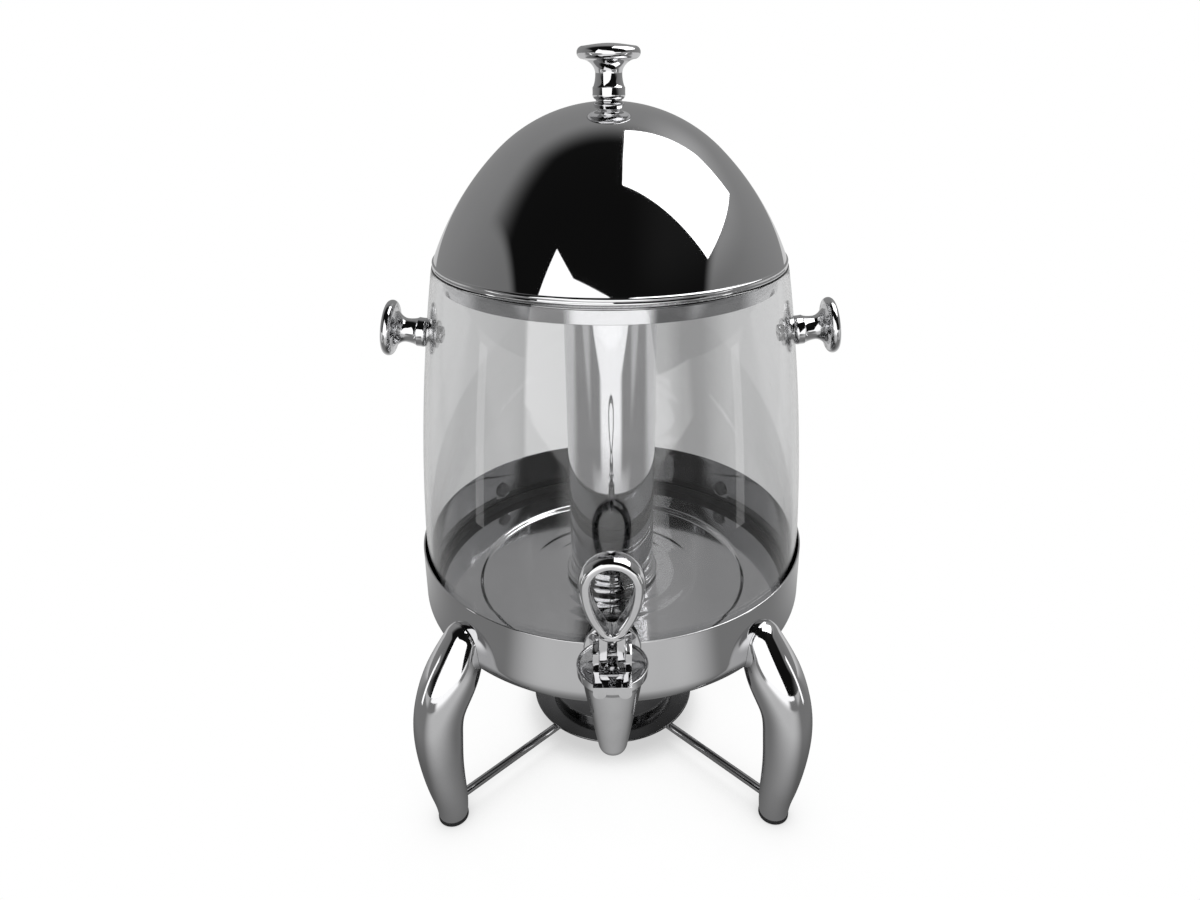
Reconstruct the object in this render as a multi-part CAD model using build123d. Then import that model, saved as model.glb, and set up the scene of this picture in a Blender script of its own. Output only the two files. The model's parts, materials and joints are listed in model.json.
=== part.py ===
from build123d import *
import math
import os

# Buffet juice dispenser, free-standing. Origin on the floor under the middle of the vessel,
# +Z up, the tap points to -Y. Millimetres.

# Base pan
RIM_HEIGHT = 170.0
RIM_RADIUS = 135.2
PAN_DRAFT = 1.0
PAN_DEPTH = 53.0
PAN_CORNER = 16.0
PAN_SHEET = 1.2

# Vessel floor and its seal
FLOOR_DROP = 38.0
FLOOR_SHEET = 1.2
FLOOR_STEP = 3.0
FLOOR_LEDGE = 36.6
FLOOR_STEP_RUN = 2.5
SUPPORT_INSET = 23.2
SUPPORT_SHEET = 1.2
GASKET_BASE = 2.0
GASKET_LIP = 2.0
GASKET_LIP_HEIGHT = 6.0

# Clear barrel
BARREL_HEIGHT = 229.5
BARREL_STRAIGHT = 38.0
BARREL_IN_PAN = 1.4
BARREL_TAPER = 22.4
BARREL_BELLY_TAPER = 7.7
BARREL_WALL = 3.0

# Lid
LID_INSET = 0.6
DOME_HEIGHT = 89.3
DOME_CROWN_INSET = 12.6
DOME_SHOULDER_INSET = 43.6
DOME_SHEET = 1.0
RIM_BEAD = 1.4
SKIRT_IN_BARREL = 2.1
SKIRT_DEPTH = 11.5
SKIRT_SHEET = 1.2
SKIRT_FLANGE = 1.0
SKIRT_BEAD = 0.7
SKIRT_BEAD_DROP = 2.5

# Turned knobs
KNOB_FOOT_RADIUS = 7.6
KNOB_BEAD_RADIUS = 9.4
KNOB_BEAD_START = 0.6
KNOB_BEAD_LENGTH = 6.4
KNOB_BEAD_BULGE = 0.4
KNOB_BEAD_RISE = 0.9
KNOB_NECK_RADIUS = 7.7
KNOB_CAP_RADIUS = 18.1
KNOB_CAP_START = 21.6
KNOB_CAP_EDGE = 6.8
KNOB_LENGTH = 29.8
KNOB_SCREW_RADIUS = 3.0
KNOB_SCREW_GRIP = 12.0
KNOB_SCREW_HEAD_RADIUS = 5.5
KNOB_SCREW_HEAD = 3.5
KNOB_SCREW_SLOT = 1.2
KNOB_SCREW_SLOT_DEPTH = 1.0
KNOB_WASHER_RADIUS = 9.0
KNOB_WASHER = 1.5
SIDE_KNOB_RISE = 145.5

# Ice tube
TUBE_RADIUS = 30.3
TUBE_WALL = 1.0
TUBE_HEIGHT = 214.0
TUBE_FLOOR = 4.0
TUBE_FOOT_RADIUS = 33.5
TUBE_FOOT_HEIGHT = 4.0
TUBE_GASKET = 2.0
TUBE_GASKET_INSET = 1.0
TUBE_BOLT_RADIUS = 4.0
TUBE_BOLT_HEAD_RADIUS = 8.0
TUBE_BOLT_HEAD = 3.5
TUBE_BOLT_PAST_NUT = 1.0
TUBE_NUT = 4.0
TUBE_NUT_FLATS = 13.0

# Legs along their curve: distance out from the pan's rim, share of the leg's height, and half width
LEG_CURVE = (
    (-9.7, 0.961, 6.5),
    (-8.1, 0.912, 9.3),
    (-2.5, 0.846, 14.2),
    (12.1, 0.693, 18.3),
    (23.4, 0.562, 16.2),
    (26.6, 0.429, 15.6),
    (26.6, 0.291, 14.1),
    (24.7, 0.153, 12.4),
    (23.1, 0.057, 10.9),
)
LEG_END_RADIUS = 10.0
FOOT_HEIGHT = 3.5
FOOT_RADIUS = 10.3
FOOT_PLUG_RADIUS = 7.0
FOOT_PLUG_TO_ROD = 1.0
LEG_SCREW_DROP = 23.5
LEG_SCREW_RADIUS = 3.0
LEG_SCREW_LENGTH = 9.0
LEG_SCREW_HEAD_RADIUS = 6.0
LEG_SCREW_HEAD = 0.7
LEG_ANGLES = {"front_left": 225, "front_right": 315, "rear_right": 45, "rear_left": 135}

# Brace plate between the legs
PLATE_RADIUS = 63.2
PLATE_SHEET = 1.5
PLATE_RING_RADIUS = 49.0
PLATE_RING_HEIGHT = 7.5
PLATE_RING_SHEET = 1.5
ROD_RADIUS = 3.0
ROD_HEIGHT = 13.5
ROD_INNER_END = 38.0
ROD_IN_LEG = 6.0

# Tap
TAP_DROP = 1.5
BOWL_RADIUS = 20.0
BOWL_RISE = 5.5
BOWL_BAND = 4.5
BOWL_LIP = 1.6
SPOUT_TOP_RADIUS = 17.2
SPOUT_TOP_DROP = 10.0
SPOUT_TIP_RADIUS = 8.6
SPOUT_TIP_FLAT = 0.6
SPOUT_LENGTH = 63.5
SPOUT_BORE_RADIUS = 5.6
CHAMBER_RADIUS = 11.8
CHAMBER_HEIGHT = 9.8
BONNET_PLATE = 1.8
BONNET_RECESS = 0.9
NECK_RADIUS = 9.5
SHANK_RADIUS = 8.0
SHANK_BORE_RADIUS = 4.2
SHANK_REACH = 24.0
COLLAR_RADIUS = 16.5
COLLAR_THICK = 2.6
COLLAR_TO_BOWL = 0.5
TAP_WASHER = 1.8
TAP_WASHER_RADIUS = 15.0
TAP_NUT = 8.0
TAP_NUT_FLATS = 24.0

# Tap fork, lever and valve
FORK_GAP = 14.4
FORK_CHEEK = 3.2
FORK_FRONT = 9.0
FORK_REAR = 7.0
FORK_TOP_RADIUS = 8.0
FORK_FACE_RISE = 6.0
FORK_LIP = 1.8
FORK_LIP_DROP = 6.0
FORK_TOE_RADIUS = 3.6
PIVOT_RISE = 11.5
PIVOT_FORWARD = 5.0
PIN_RADIUS = 1.75
PIN_PAST_CHEEK = 0.6
STEM_RADIUS = 2.4
STEM_BAR_RADIUS = 1.5
STEM_ABOVE_BAR = 3.0
TINE_THICK = 3.0
TINE_PAST_STEM = 4.0
CLEVIS_RISE = 2.4
HUB_RADIUS = 5.0
LOOP_WIDTH = 35.5
LOOP_START = 12.0
LOOP_HEIGHT = 52.0
LOOP_BAND = 5.8
LOOP_DEPTH = 13.0
LOOP_ROUND = 1.5
LOOP_TIP_RADIUS = 9.8
VALVE_RADIUS = 8.5
VALVE_THICK = 2.2
SPRING_RADIUS = 6.0
SPRING_WIRE_RADIUS = 0.4
SPRING_TURNS = 3

# Clearances
SEAT_GAP = 0.1
RUNNING_FIT = 0.06
MOVING_GAP = 0.3
HOLE_GAP = 0.25

# Sizes and levels that several pieces share
BARREL_FOOT_RADIUS = RIM_RADIUS - PAN_SHEET - BARREL_IN_PAN
BARREL_BELLY_RADIUS = BARREL_FOOT_RADIUS - BARREL_BELLY_TAPER
BARREL_TOP_RADIUS = BARREL_FOOT_RADIUS - BARREL_TAPER
LID_RADIUS = BARREL_TOP_RADIUS - LID_INSET
SKIRT_RADIUS = BARREL_TOP_RADIUS - BARREL_WALL - SKIRT_IN_BARREL
DOME_CROWN_RADIUS = LID_RADIUS - DOME_CROWN_INSET
DOME_SHOULDER = LID_RADIUS - DOME_SHOULDER_INSET
FLOOR_STEP_RADIUS = RIM_RADIUS - FLOOR_LEDGE
SUPPORT_RADIUS = RIM_RADIUS - SUPPORT_INSET
LEG_FOOT_RADIUS = RIM_RADIUS + LEG_CURVE[-1][0]
PAN_BOTTOM = RIM_HEIGHT - PAN_DEPTH
FLOOR_TOP = RIM_HEIGHT - FLOOR_DROP
FLOOR_LOW = FLOOR_TOP - FLOOR_STEP
BARREL_FOOT = FLOOR_TOP + GASKET_BASE
BARREL_BEND = BARREL_FOOT + BARREL_STRAIGHT
BARREL_TOP = BARREL_FOOT + BARREL_HEIGHT
LID_FOOT = BARREL_TOP + MOVING_GAP
DOME_FOOT = LID_FOOT + SKIRT_FLANGE
DOME_TOP = DOME_FOOT + DOME_HEIGHT
TAP_HEIGHT = RIM_HEIGHT - TAP_DROP
BOWL_TOP = RIM_HEIGHT + BOWL_RISE
BONNET_TOP = BOWL_TOP - BONNET_RECESS
BONNET_BOTTOM = BONNET_TOP - BONNET_PLATE
CHAMBER_FLOOR = BONNET_BOTTOM - CHAMBER_HEIGHT
COLLAR_BACK = BARREL_FOOT_RADIUS + TAP_WASHER
COLLAR_FRONT = COLLAR_BACK + COLLAR_THICK
TAP_FORWARD = COLLAR_FRONT + COLLAR_TO_BOWL + BOWL_RADIUS
PIVOT_HEIGHT = BONNET_TOP + PIVOT_RISE
PIVOT_Y = -TAP_FORWARD - PIVOT_FORWARD
FOOT_PLUG_TOP = ROD_HEIGHT - ROD_RADIUS - FOOT_PLUG_TO_ROD
BASE_ALIGN = (Align.CENTER, Align.CENTER, Align.MIN)


def circle_through(first, second, third):
    """Centre and radius of the circle through three points (radius, height)."""
    ax, ay = first
    bx, by = second
    cx, cy = third
    turn = 2 * (ax * (by - cy) + bx * (cy - ay) + cx * (ay - by))
    a2, b2, c2 = ax * ax + ay * ay, bx * bx + by * by, cx * cx + cy * cy
    x = (a2 * (by - cy) + b2 * (cy - ay) + c2 * (ay - by)) / turn
    y = (a2 * (cx - bx) + b2 * (ax - cx) + c2 * (bx - ax)) / turn
    return x, y, math.hypot(ax - x, ay - y)


def turned(*edges):
    """Solid turned about Z from edges drawn with x as radius and y as height."""
    return revolve(Plane.XZ * make_face(Curve() + list(edges)), Axis.Z)


def ring(inner, outer, bottom, top):
    """Plain ring about Z."""
    tall = top - bottom
    return Pos(0, 0, bottom) * extrude(Circle(outer) - Circle(inner), tall)


def disc(radius, bottom, top):
    """Plain disc about Z."""
    return Pos(0, 0, bottom) * extrude(Circle(radius), top - bottom)


def hex_nut(flats, bore, thick):
    """Hexagon nut standing on the XY plane."""
    outline = RegularPolygon(flats / 2, 6, major_radius=False)
    return extrude(outline - Circle(bore), thick)


def barrel_outline(inset):
    """Edges up the barrel's wall, moved in by inset: the straight foot, then the bulged taper."""
    foot = (BARREL_FOOT_RADIUS - inset, BARREL_FOOT)
    bend = (BARREL_FOOT_RADIUS - inset, BARREL_BEND)
    belly = (BARREL_BELLY_RADIUS - inset, (BARREL_BEND + BARREL_TOP) / 2)
    top = (BARREL_TOP_RADIUS - inset, BARREL_TOP)
    return foot, top, Line(foot, bend), ThreePointArc(bend, belly, top)


def barrel_core(inset):
    """The space inside the barrel's wall line as a solid, for shaping pieces that lie on the wall."""
    foot, top, straight, taper = barrel_outline(inset)
    axis_top, axis_foot = (0, BARREL_TOP), (0, BARREL_FOOT)
    return turned(straight, taper, Line(top, axis_top), Line(axis_top, axis_foot), Line(axis_foot, foot))


def side_knob_place(side):
    """Location on the barrel's outside with Z along the wall's normal; side is 1 or -1 along X."""
    bend = (BARREL_FOOT_RADIUS, BARREL_BEND)
    belly = (BARREL_BELLY_RADIUS, (BARREL_BEND + BARREL_TOP) / 2)
    top = (BARREL_TOP_RADIUS, BARREL_TOP)
    centre_r, centre_z, radius = circle_through(bend, belly, top)
    height = RIM_HEIGHT + SIDE_KNOB_RISE
    across = math.sqrt(radius ** 2 - (height - centre_z) ** 2)
    normal = Vector(side * across, 0, height - centre_z).normalized()
    spot = Vector(side * (centre_r + across), 0, height)
    return Plane(origin=spot, x_dir=(0, 1, 0), z_dir=normal).location


def front_plane(forward, height):
    """Plane facing +Y at a distance in front of the middle, for round pieces along the tap's shank."""
    return Plane(origin=(0, -forward, height), x_dir=(1, 0, 0), z_dir=(0, 1, 0))


def pan_outline(inset):
    """Outer edges of the pan moved in by inset, from the rim down the wall to the middle of the bottom."""
    rim = (RIM_RADIUS - inset, RIM_HEIGHT)
    corner = PAN_CORNER - inset
    foot_radius = RIM_RADIUS + PAN_DRAFT - inset
    wall_end = (foot_radius, PAN_BOTTOM + inset + corner)
    middle = (0, PAN_BOTTOM + inset)
    turn_in = (foot_radius - corner, PAN_BOTTOM + inset)
    half = math.sqrt(0.5) * corner
    knuckle = (foot_radius - corner + half, PAN_BOTTOM + inset + corner - half)
    wall = [Line(rim, wall_end), ThreePointArc(wall_end, knuckle, turn_in), Line(turn_in, middle)]
    return rim, middle, wall


def pan_envelope(grow):
    """The pan's outside as a full solid, grown by a clearance."""
    rim, middle, wall = pan_outline(-grow)
    axis_top = (0, RIM_HEIGHT)
    return turned(*wall, Line(middle, axis_top), Line(axis_top, rim))


def base_pan():
    outer_rim, outer_middle, outer = pan_outline(0)
    inner_rim, inner_middle, inner = pan_outline(PAN_SHEET)
    pan = turned(*outer, Line(outer_middle, inner_middle), *inner, Line(inner_rim, outer_rim))
    notch = COLLAR_RADIUS + MOVING_GAP
    reach = 2 * BOWL_RADIUS
    slot = extrude(Circle(notch) + Pos(0, notch) * Rectangle(2 * notch, 2 * notch), reach)
    pan -= Plane(origin=(0, -RIM_RADIUS + BOWL_RADIUS, TAP_HEIGHT), x_dir=(1, 0, 0), z_dir=(0, -1, 0)) * slot
    for angle in LEG_ANGLES.values():
        pan -= leg_screw_bore(angle, LEG_SCREW_RADIUS + HOLE_GAP)
    return pan


def vessel_floor():
    edge = RIM_RADIUS - PAN_SHEET - HOLE_GAP
    step_foot = FLOOR_STEP_RADIUS - FLOOR_STEP_RUN
    hole = TUBE_BOLT_RADIUS + HOLE_GAP
    points = [
        (hole, FLOOR_LOW),
        (step_foot, FLOOR_LOW),
        (FLOOR_STEP_RADIUS, FLOOR_TOP),
        (edge, FLOOR_TOP),
        (edge, FLOOR_TOP - FLOOR_SHEET),
        (FLOOR_STEP_RADIUS, FLOOR_TOP - FLOOR_SHEET),
        (step_foot, FLOOR_LOW - FLOOR_SHEET),
        (hole, FLOOR_LOW - FLOOR_SHEET),
    ]
    return turned(Polyline(*points, close=True))


def floor_support_ring():
    inner = SUPPORT_RADIUS - SUPPORT_SHEET
    return ring(inner, SUPPORT_RADIUS, PAN_BOTTOM + PAN_SHEET, FLOOR_TOP - FLOOR_SHEET)


def barrel_gasket():
    lip_outer = BARREL_FOOT_RADIUS - BARREL_WALL - SEAT_GAP
    lip_inner = lip_outer - GASKET_LIP
    lip_top = FLOOR_TOP + GASKET_LIP_HEIGHT
    points = [
        (lip_inner, FLOOR_TOP),
        (BARREL_FOOT_RADIUS, FLOOR_TOP),
        (BARREL_FOOT_RADIUS, BARREL_FOOT),
        (lip_outer, BARREL_FOOT),
        (lip_outer, lip_top),
        (lip_inner, lip_top),
    ]
    return turned(Polyline(*points, close=True))


def barrel():
    outer_foot, outer_top, *outer = barrel_outline(0)
    inner_foot, inner_top, *inner = barrel_outline(BARREL_WALL)
    shell = turned(*outer, Line(outer_top, inner_top), *inner, Line(inner_foot, outer_foot))
    tap_hole = extrude(Circle(SHANK_RADIUS + HOLE_GAP), 2 * BARREL_WALL + TAP_WASHER)
    shell -= front_plane(COLLAR_BACK, TAP_HEIGHT) * tap_hole
    for side in (1, -1):
        bore = extrude(Circle(KNOB_SCREW_RADIUS + HOLE_GAP), 2 * BARREL_WALL, both=True)
        shell -= side_knob_place(side) * bore
    return shell


def knob():
    """Turned knob with its foot on the XY plane and a blind screw hole up the middle."""
    bead_end = KNOB_BEAD_START + KNOB_BEAD_LENGTH
    bead_middle = KNOB_BEAD_START + KNOB_BEAD_LENGTH / 2
    neck_height = (bead_end + KNOB_CAP_START) / 2
    pinch = KNOB_FOOT_RADIUS
    shoulder = ((KNOB_BEAD_RADIUS + pinch) / 2 + KNOB_BEAD_BULGE, KNOB_BEAD_START + KNOB_BEAD_RISE)
    cap_edge_end = KNOB_CAP_START + KNOB_CAP_EDGE
    crown = KNOB_CAP_RADIUS - KNOB_CAP_EDGE / 2
    hole_end = KNOB_SCREW_GRIP + KNOB_SCREW_HEAD
    hole = KNOB_SCREW_RADIUS + SEAT_GAP
    under_edge = (KNOB_CAP_RADIUS - KNOB_CAP_EDGE / 2, KNOB_CAP_START)
    neck = (KNOB_NECK_RADIUS, neck_height)
    edge_middle = (KNOB_CAP_RADIUS, KNOB_CAP_START + KNOB_CAP_EDGE / 2)
    edges = [
        Line((hole, 0), (pinch, 0)),
        Line((pinch, 0), (pinch, KNOB_BEAD_START)),
        ThreePointArc((pinch, KNOB_BEAD_START), shoulder, (KNOB_BEAD_RADIUS, bead_middle)),
        Line((KNOB_BEAD_RADIUS, bead_middle), (KNOB_BEAD_RADIUS, bead_end)),
        Spline((KNOB_BEAD_RADIUS, bead_end), neck, under_edge, tangents=[(-1, 1), (1, 0.25)]),
        ThreePointArc(under_edge, edge_middle, (crown, cap_edge_end)),
        Spline((crown, cap_edge_end), (0, KNOB_LENGTH), tangents=[(-1, 0.12), (-1, 0)]),
        Line((0, KNOB_LENGTH), (0, hole_end)),
        Line((0, hole_end), (hole, hole_end)),
        Line((hole, hole_end), (hole, 0)),
    ]
    return turned(*edges)


def knob_screw(wall):
    """Screw up the Z axis into a knob whose foot is at zero, through a wall and washer below it."""
    under = -wall - KNOB_WASHER
    head = disc(KNOB_SCREW_HEAD_RADIUS, under - KNOB_SCREW_HEAD, under)
    head = fillet(head.edges().group_by(Axis.Z)[0], KNOB_SCREW_HEAD / 3)
    slot_place = Pos(0, 0, under - KNOB_SCREW_HEAD)
    slot = slot_place * Box(2 * KNOB_SCREW_HEAD_RADIUS, KNOB_SCREW_SLOT, 2 * KNOB_SCREW_SLOT_DEPTH)
    return head - slot + disc(KNOB_SCREW_RADIUS, under, KNOB_SCREW_GRIP)


def knob_washer(wall):
    """Washer below a wall whose outside is at zero."""
    return ring(KNOB_SCREW_RADIUS + HOLE_GAP, KNOB_WASHER_RADIUS, -wall - KNOB_WASHER, -wall)


def wall_under_side_knob():
    """Wall thickness that a flat washer meets inside the curved barrel at the carrying knobs."""
    sag = KNOB_WASHER_RADIUS ** 2 / (2 * (BARREL_TOP_RADIUS - BARREL_WALL))
    return BARREL_WALL + sag


def dome_line(inset):
    """Edges of the dome moved in by inset, from the apex to the foot: crown arc, then shoulder arc."""
    radius = DOME_CROWN_RADIUS - inset
    centre = DOME_TOP - DOME_CROWN_RADIUS
    lean = math.asin(DOME_SHOULDER / DOME_CROWN_RADIUS)
    apex = (0, centre + radius)
    middle = (radius * math.sin(lean / 2), centre + radius * math.cos(lean / 2))
    join = (radius * math.sin(lean), centre + radius * math.cos(lean))
    foot = (LID_RADIUS - inset, DOME_FOOT)
    shoulder = TangentArc(join, foot, tangent=(math.cos(lean), -math.sin(lean)))
    return apex, foot, [ThreePointArc(apex, middle, join), shoulder]


def lid_dome():
    outer_apex, outer_foot, outer = dome_line(0)
    inner_apex, inner_foot, inner = dome_line(DOME_SHEET)
    shell = turned(*outer, Line(outer_foot, inner_foot), *inner, Line(inner_apex, outer_apex))
    bead_middle = (LID_RADIUS - RIM_BEAD, DOME_FOOT + RIM_BEAD)
    shell += revolve(Plane.XZ * (Pos(*bead_middle) * Circle(RIM_BEAD)), Axis.Z)
    return shell - disc(KNOB_SCREW_RADIUS + HOLE_GAP, DOME_FOOT, DOME_TOP + DOME_SHEET)


def lid_skirt_ring():
    inner = SKIRT_RADIUS - SKIRT_SHEET
    bead = SKIRT_RADIUS + SKIRT_BEAD
    bead_top = LID_FOOT - SKIRT_BEAD_DROP
    foot = LID_FOOT - SKIRT_DEPTH
    flange_top = LID_FOOT + SKIRT_FLANGE
    points = [
        (inner, foot),
        (SKIRT_RADIUS, foot),
        (SKIRT_RADIUS, bead_top - 2 * SKIRT_BEAD),
        (bead, bead_top - SKIRT_BEAD),
        (SKIRT_RADIUS, bead_top),
        (SKIRT_RADIUS, LID_FOOT),
        (LID_RADIUS, LID_FOOT),
        (LID_RADIUS, flange_top),
        (inner, flange_top),
    ]
    return turned(Polyline(*points, close=True))


def wall_under_lid_knob():
    """Wall thickness that a flat washer meets inside the dome's apex."""
    return DOME_SHEET + KNOB_WASHER_RADIUS ** 2 / (2 * (DOME_CROWN_RADIUS - DOME_SHEET))


def ice_tube():
    foot = FLOOR_LOW + TUBE_GASKET
    bore = TUBE_RADIUS - TUBE_WALL
    tube = disc(TUBE_RADIUS, foot, foot + TUBE_HEIGHT)
    tube += disc(TUBE_FOOT_RADIUS, foot, foot + TUBE_FOOT_HEIGHT)
    tube -= disc(bore, foot + TUBE_FLOOR, foot + TUBE_HEIGHT)
    tube -= disc(TUBE_BOLT_RADIUS + HOLE_GAP, foot, foot + TUBE_FLOOR)
    return tube


def ice_tube_gasket():
    outer = TUBE_FOOT_RADIUS - TUBE_GASKET_INSET
    return ring(TUBE_BOLT_RADIUS + HOLE_GAP, outer, FLOOR_LOW, FLOOR_LOW + TUBE_GASKET)


def ice_tube_bolt():
    seat = FLOOR_LOW + TUBE_GASKET + TUBE_FLOOR
    head = disc(TUBE_BOLT_HEAD_RADIUS, seat, seat + TUBE_BOLT_HEAD)
    head = fillet(head.edges().group_by(Axis.Z)[-1], TUBE_BOLT_HEAD / 2)
    end = FLOOR_LOW - FLOOR_SHEET - TUBE_NUT - TUBE_BOLT_PAST_NUT
    return head + disc(TUBE_BOLT_RADIUS, end, seat)


def ice_tube_nut():
    bottom = FLOOR_LOW - FLOOR_SHEET - TUBE_NUT
    return Pos(0, 0, bottom) * hex_nut(TUBE_NUT_FLATS, TUBE_BOLT_RADIUS + RUNNING_FIT, TUBE_NUT)


def leg_frame(angle):
    """Turns the XZ plane, where each leg is drawn with X outwards, to the leg's own direction."""
    return Rot(0, 0, angle)


def leg_screw_bore(angle, radius):
    spot = Plane(origin=(0, 0, RIM_HEIGHT - LEG_SCREW_DROP), x_dir=(0, 1, 0), z_dir=(1, 0, 0))
    length = RIM_RADIUS + LEG_SCREW_LENGTH + SEAT_GAP
    start = RIM_RADIUS - 2 * PAN_SHEET
    bore = spot * Pos(0, 0, start) * extrude(Circle(radius), length - start)
    return leg_frame(angle) * bore


def leg_sections():
    """Circles across the leg's curve, from inside the pan to just above the foot."""
    tall = RIM_HEIGHT - FOOT_HEIGHT
    places = [(RIM_RADIUS + out, FOOT_HEIGHT + share * tall, half) for out, share, half in LEG_CURVE]
    places.append((LEG_FOOT_RADIUS, FOOT_HEIGHT, LEG_END_RADIUS))
    curve = Spline(*[(r, z) for r, z, _ in places], tangents=[(1, -1), (0, -1)])
    sections = []
    for r, z, half in places:
        along = curve.tangent_at(curve.param_at_point((r, z)))
        plane = Plane(origin=(r, 0, z), x_dir=(0, 1, 0), z_dir=(along.X, 0, along.Y))
        sections.append(plane * Circle(half))
    return sections


def leg(angle):
    solid = loft(leg_sections()) - pan_envelope(SEAT_GAP)
    plug_room = disc(FOOT_PLUG_RADIUS + SEAT_GAP, FOOT_HEIGHT, FOOT_PLUG_TOP + SEAT_GAP)
    solid -= Pos(LEG_FOOT_RADIUS, 0) * plug_room
    solid -= rod_bore(ROD_RADIUS + SEAT_GAP, SEAT_GAP)
    return leg_frame(angle) * solid - leg_screw_bore(angle, LEG_SCREW_RADIUS + SEAT_GAP)


def foot_plug(angle):
    pad = disc(FOOT_RADIUS, 0, FOOT_HEIGHT)
    pad = chamfer(pad.edges().group_by(Axis.Z)[0], FOOT_HEIGHT / 4)
    plug = pad + disc(FOOT_PLUG_RADIUS, FOOT_HEIGHT, FOOT_PLUG_TOP)
    return leg_frame(angle) * Pos(LEG_FOOT_RADIUS, 0) * plug


def leg_screw(angle):
    """Flat-headed screw from inside the pan into the leg."""
    spot = Plane(origin=(0, 0, RIM_HEIGHT - LEG_SCREW_DROP), x_dir=(0, 1, 0), z_dir=(1, 0, 0))
    seat = RIM_RADIUS - PAN_SHEET
    head = spot * disc(LEG_SCREW_HEAD_RADIUS, seat - LEG_SCREW_HEAD, seat)
    shank = spot * disc(LEG_SCREW_RADIUS, seat, RIM_RADIUS + LEG_SCREW_LENGTH)
    return leg_frame(angle) * (head + shank)


def leg_inner_side():
    """Distance from the middle to the leg's inner side at the rods' height."""
    return LEG_FOOT_RADIUS - LEG_END_RADIUS


def rod_bore(radius, extra):
    """Round bar along X from under the plate into the leg."""
    end = leg_inner_side() + ROD_IN_LEG + extra
    spot = Plane(origin=(ROD_INNER_END, 0, ROD_HEIGHT), x_dir=(0, 1, 0), z_dir=(1, 0, 0))
    return spot * extrude(Circle(radius), end - ROD_INNER_END)


def brace_rod(angle):
    return leg_frame(angle) * rod_bore(ROD_RADIUS, 0)


def brace_plate():
    bottom = ROD_HEIGHT + ROD_RADIUS
    plate = disc(PLATE_RADIUS, bottom, bottom + PLATE_SHEET)
    return fillet(plate.edges().group_by(Axis.Z)[-1], PLATE_SHEET / 2)


def brace_plate_ring():
    bottom = ROD_HEIGHT + ROD_RADIUS + PLATE_SHEET
    hoop = ring(PLATE_RING_RADIUS - PLATE_RING_SHEET, PLATE_RING_RADIUS, bottom, bottom + PLATE_RING_HEIGHT)
    return fillet(hoop.edges().group_by(Axis.Z)[-1], PLATE_RING_SHEET / 3)


def tap_body():
    """Bell-shaped body on a vertical axis with its tapered spout, and the shank at the back."""
    tip = BOWL_TOP - SPOUT_LENGTH
    spout_top = BOWL_TOP - SPOUT_TOP_DROP
    band_foot = BOWL_TOP - BOWL_BAND
    lip = BOWL_RADIUS - BOWL_LIP
    tip_round = SPOUT_TIP_RADIUS - SPOUT_BORE_RADIUS - SPOUT_TIP_FLAT
    edges = [
        Line((SPOUT_BORE_RADIUS, tip), (SPOUT_TIP_RADIUS - tip_round, tip)),
        Spline(
            (SPOUT_TIP_RADIUS - tip_round, tip),
            (SPOUT_TIP_RADIUS, tip + 2 * tip_round),
            tangents=[(1, 0), (0.12, 1)],
        ),
        Line((SPOUT_TIP_RADIUS, tip + 2 * tip_round), (SPOUT_TOP_RADIUS, spout_top)),
        Spline((SPOUT_TOP_RADIUS, spout_top), (BOWL_RADIUS, band_foot), tangents=[(0.14, 1), (0, 1)]),
        Line((BOWL_RADIUS, band_foot), (BOWL_RADIUS, BOWL_TOP)),
        Line((BOWL_RADIUS, BOWL_TOP), (lip, BOWL_TOP)),
        Line((lip, BOWL_TOP), (lip, BONNET_BOTTOM)),
        Line((lip, BONNET_BOTTOM), (CHAMBER_RADIUS, BONNET_BOTTOM)),
        Line((CHAMBER_RADIUS, BONNET_BOTTOM), (CHAMBER_RADIUS, CHAMBER_FLOOR)),
        Line((CHAMBER_RADIUS, CHAMBER_FLOOR), (SPOUT_BORE_RADIUS, CHAMBER_FLOOR)),
        Line((SPOUT_BORE_RADIUS, CHAMBER_FLOOR), (SPOUT_BORE_RADIUS, tip)),
    ]
    bell = Pos(0, -TAP_FORWARD) * turned(*edges)
    inside = disc(CHAMBER_RADIUS, CHAMBER_FLOOR, BONNET_BOTTOM) + disc(lip, BONNET_BOTTOM, 2 * BOWL_TOP)
    collar_face = front_plane(TAP_FORWARD, TAP_HEIGHT)
    neck = collar_face * extrude(Circle(NECK_RADIUS), TAP_FORWARD - COLLAR_FRONT)
    shank_end = TAP_FORWARD - BARREL_FOOT_RADIUS + SHANK_REACH
    shank = collar_face * extrude(Circle(SHANK_RADIUS), shank_end)
    bore = collar_face * extrude(Circle(SHANK_BORE_RADIUS), shank_end)
    return bell + (neck + shank - Pos(0, -TAP_FORWARD) * inside) - bore


def tap_collar():
    thick = COLLAR_THICK
    collar = extrude(Circle(COLLAR_RADIUS) - Circle(SHANK_RADIUS + SEAT_GAP), thick)
    collar = fillet(collar.edges().group_by(Axis.Z)[0].sort_by(SortBy.LENGTH)[-1], thick / 3)
    return front_plane(COLLAR_FRONT, TAP_HEIGHT) * collar


def tap_washer_outer():
    """Rubber washer with a flat front and a back shaped to the barrel."""
    blank = extrude(Circle(TAP_WASHER_RADIUS) - Circle(SHANK_RADIUS + SEAT_GAP), 2 * TAP_WASHER)
    return front_plane(COLLAR_BACK, TAP_HEIGHT) * blank - barrel_core(-SEAT_GAP)


def inner_washer_face():
    """Distance in front of the middle of the inner washer's flat face."""
    return BARREL_FOOT_RADIUS - BARREL_WALL - 2 * TAP_WASHER


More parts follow.
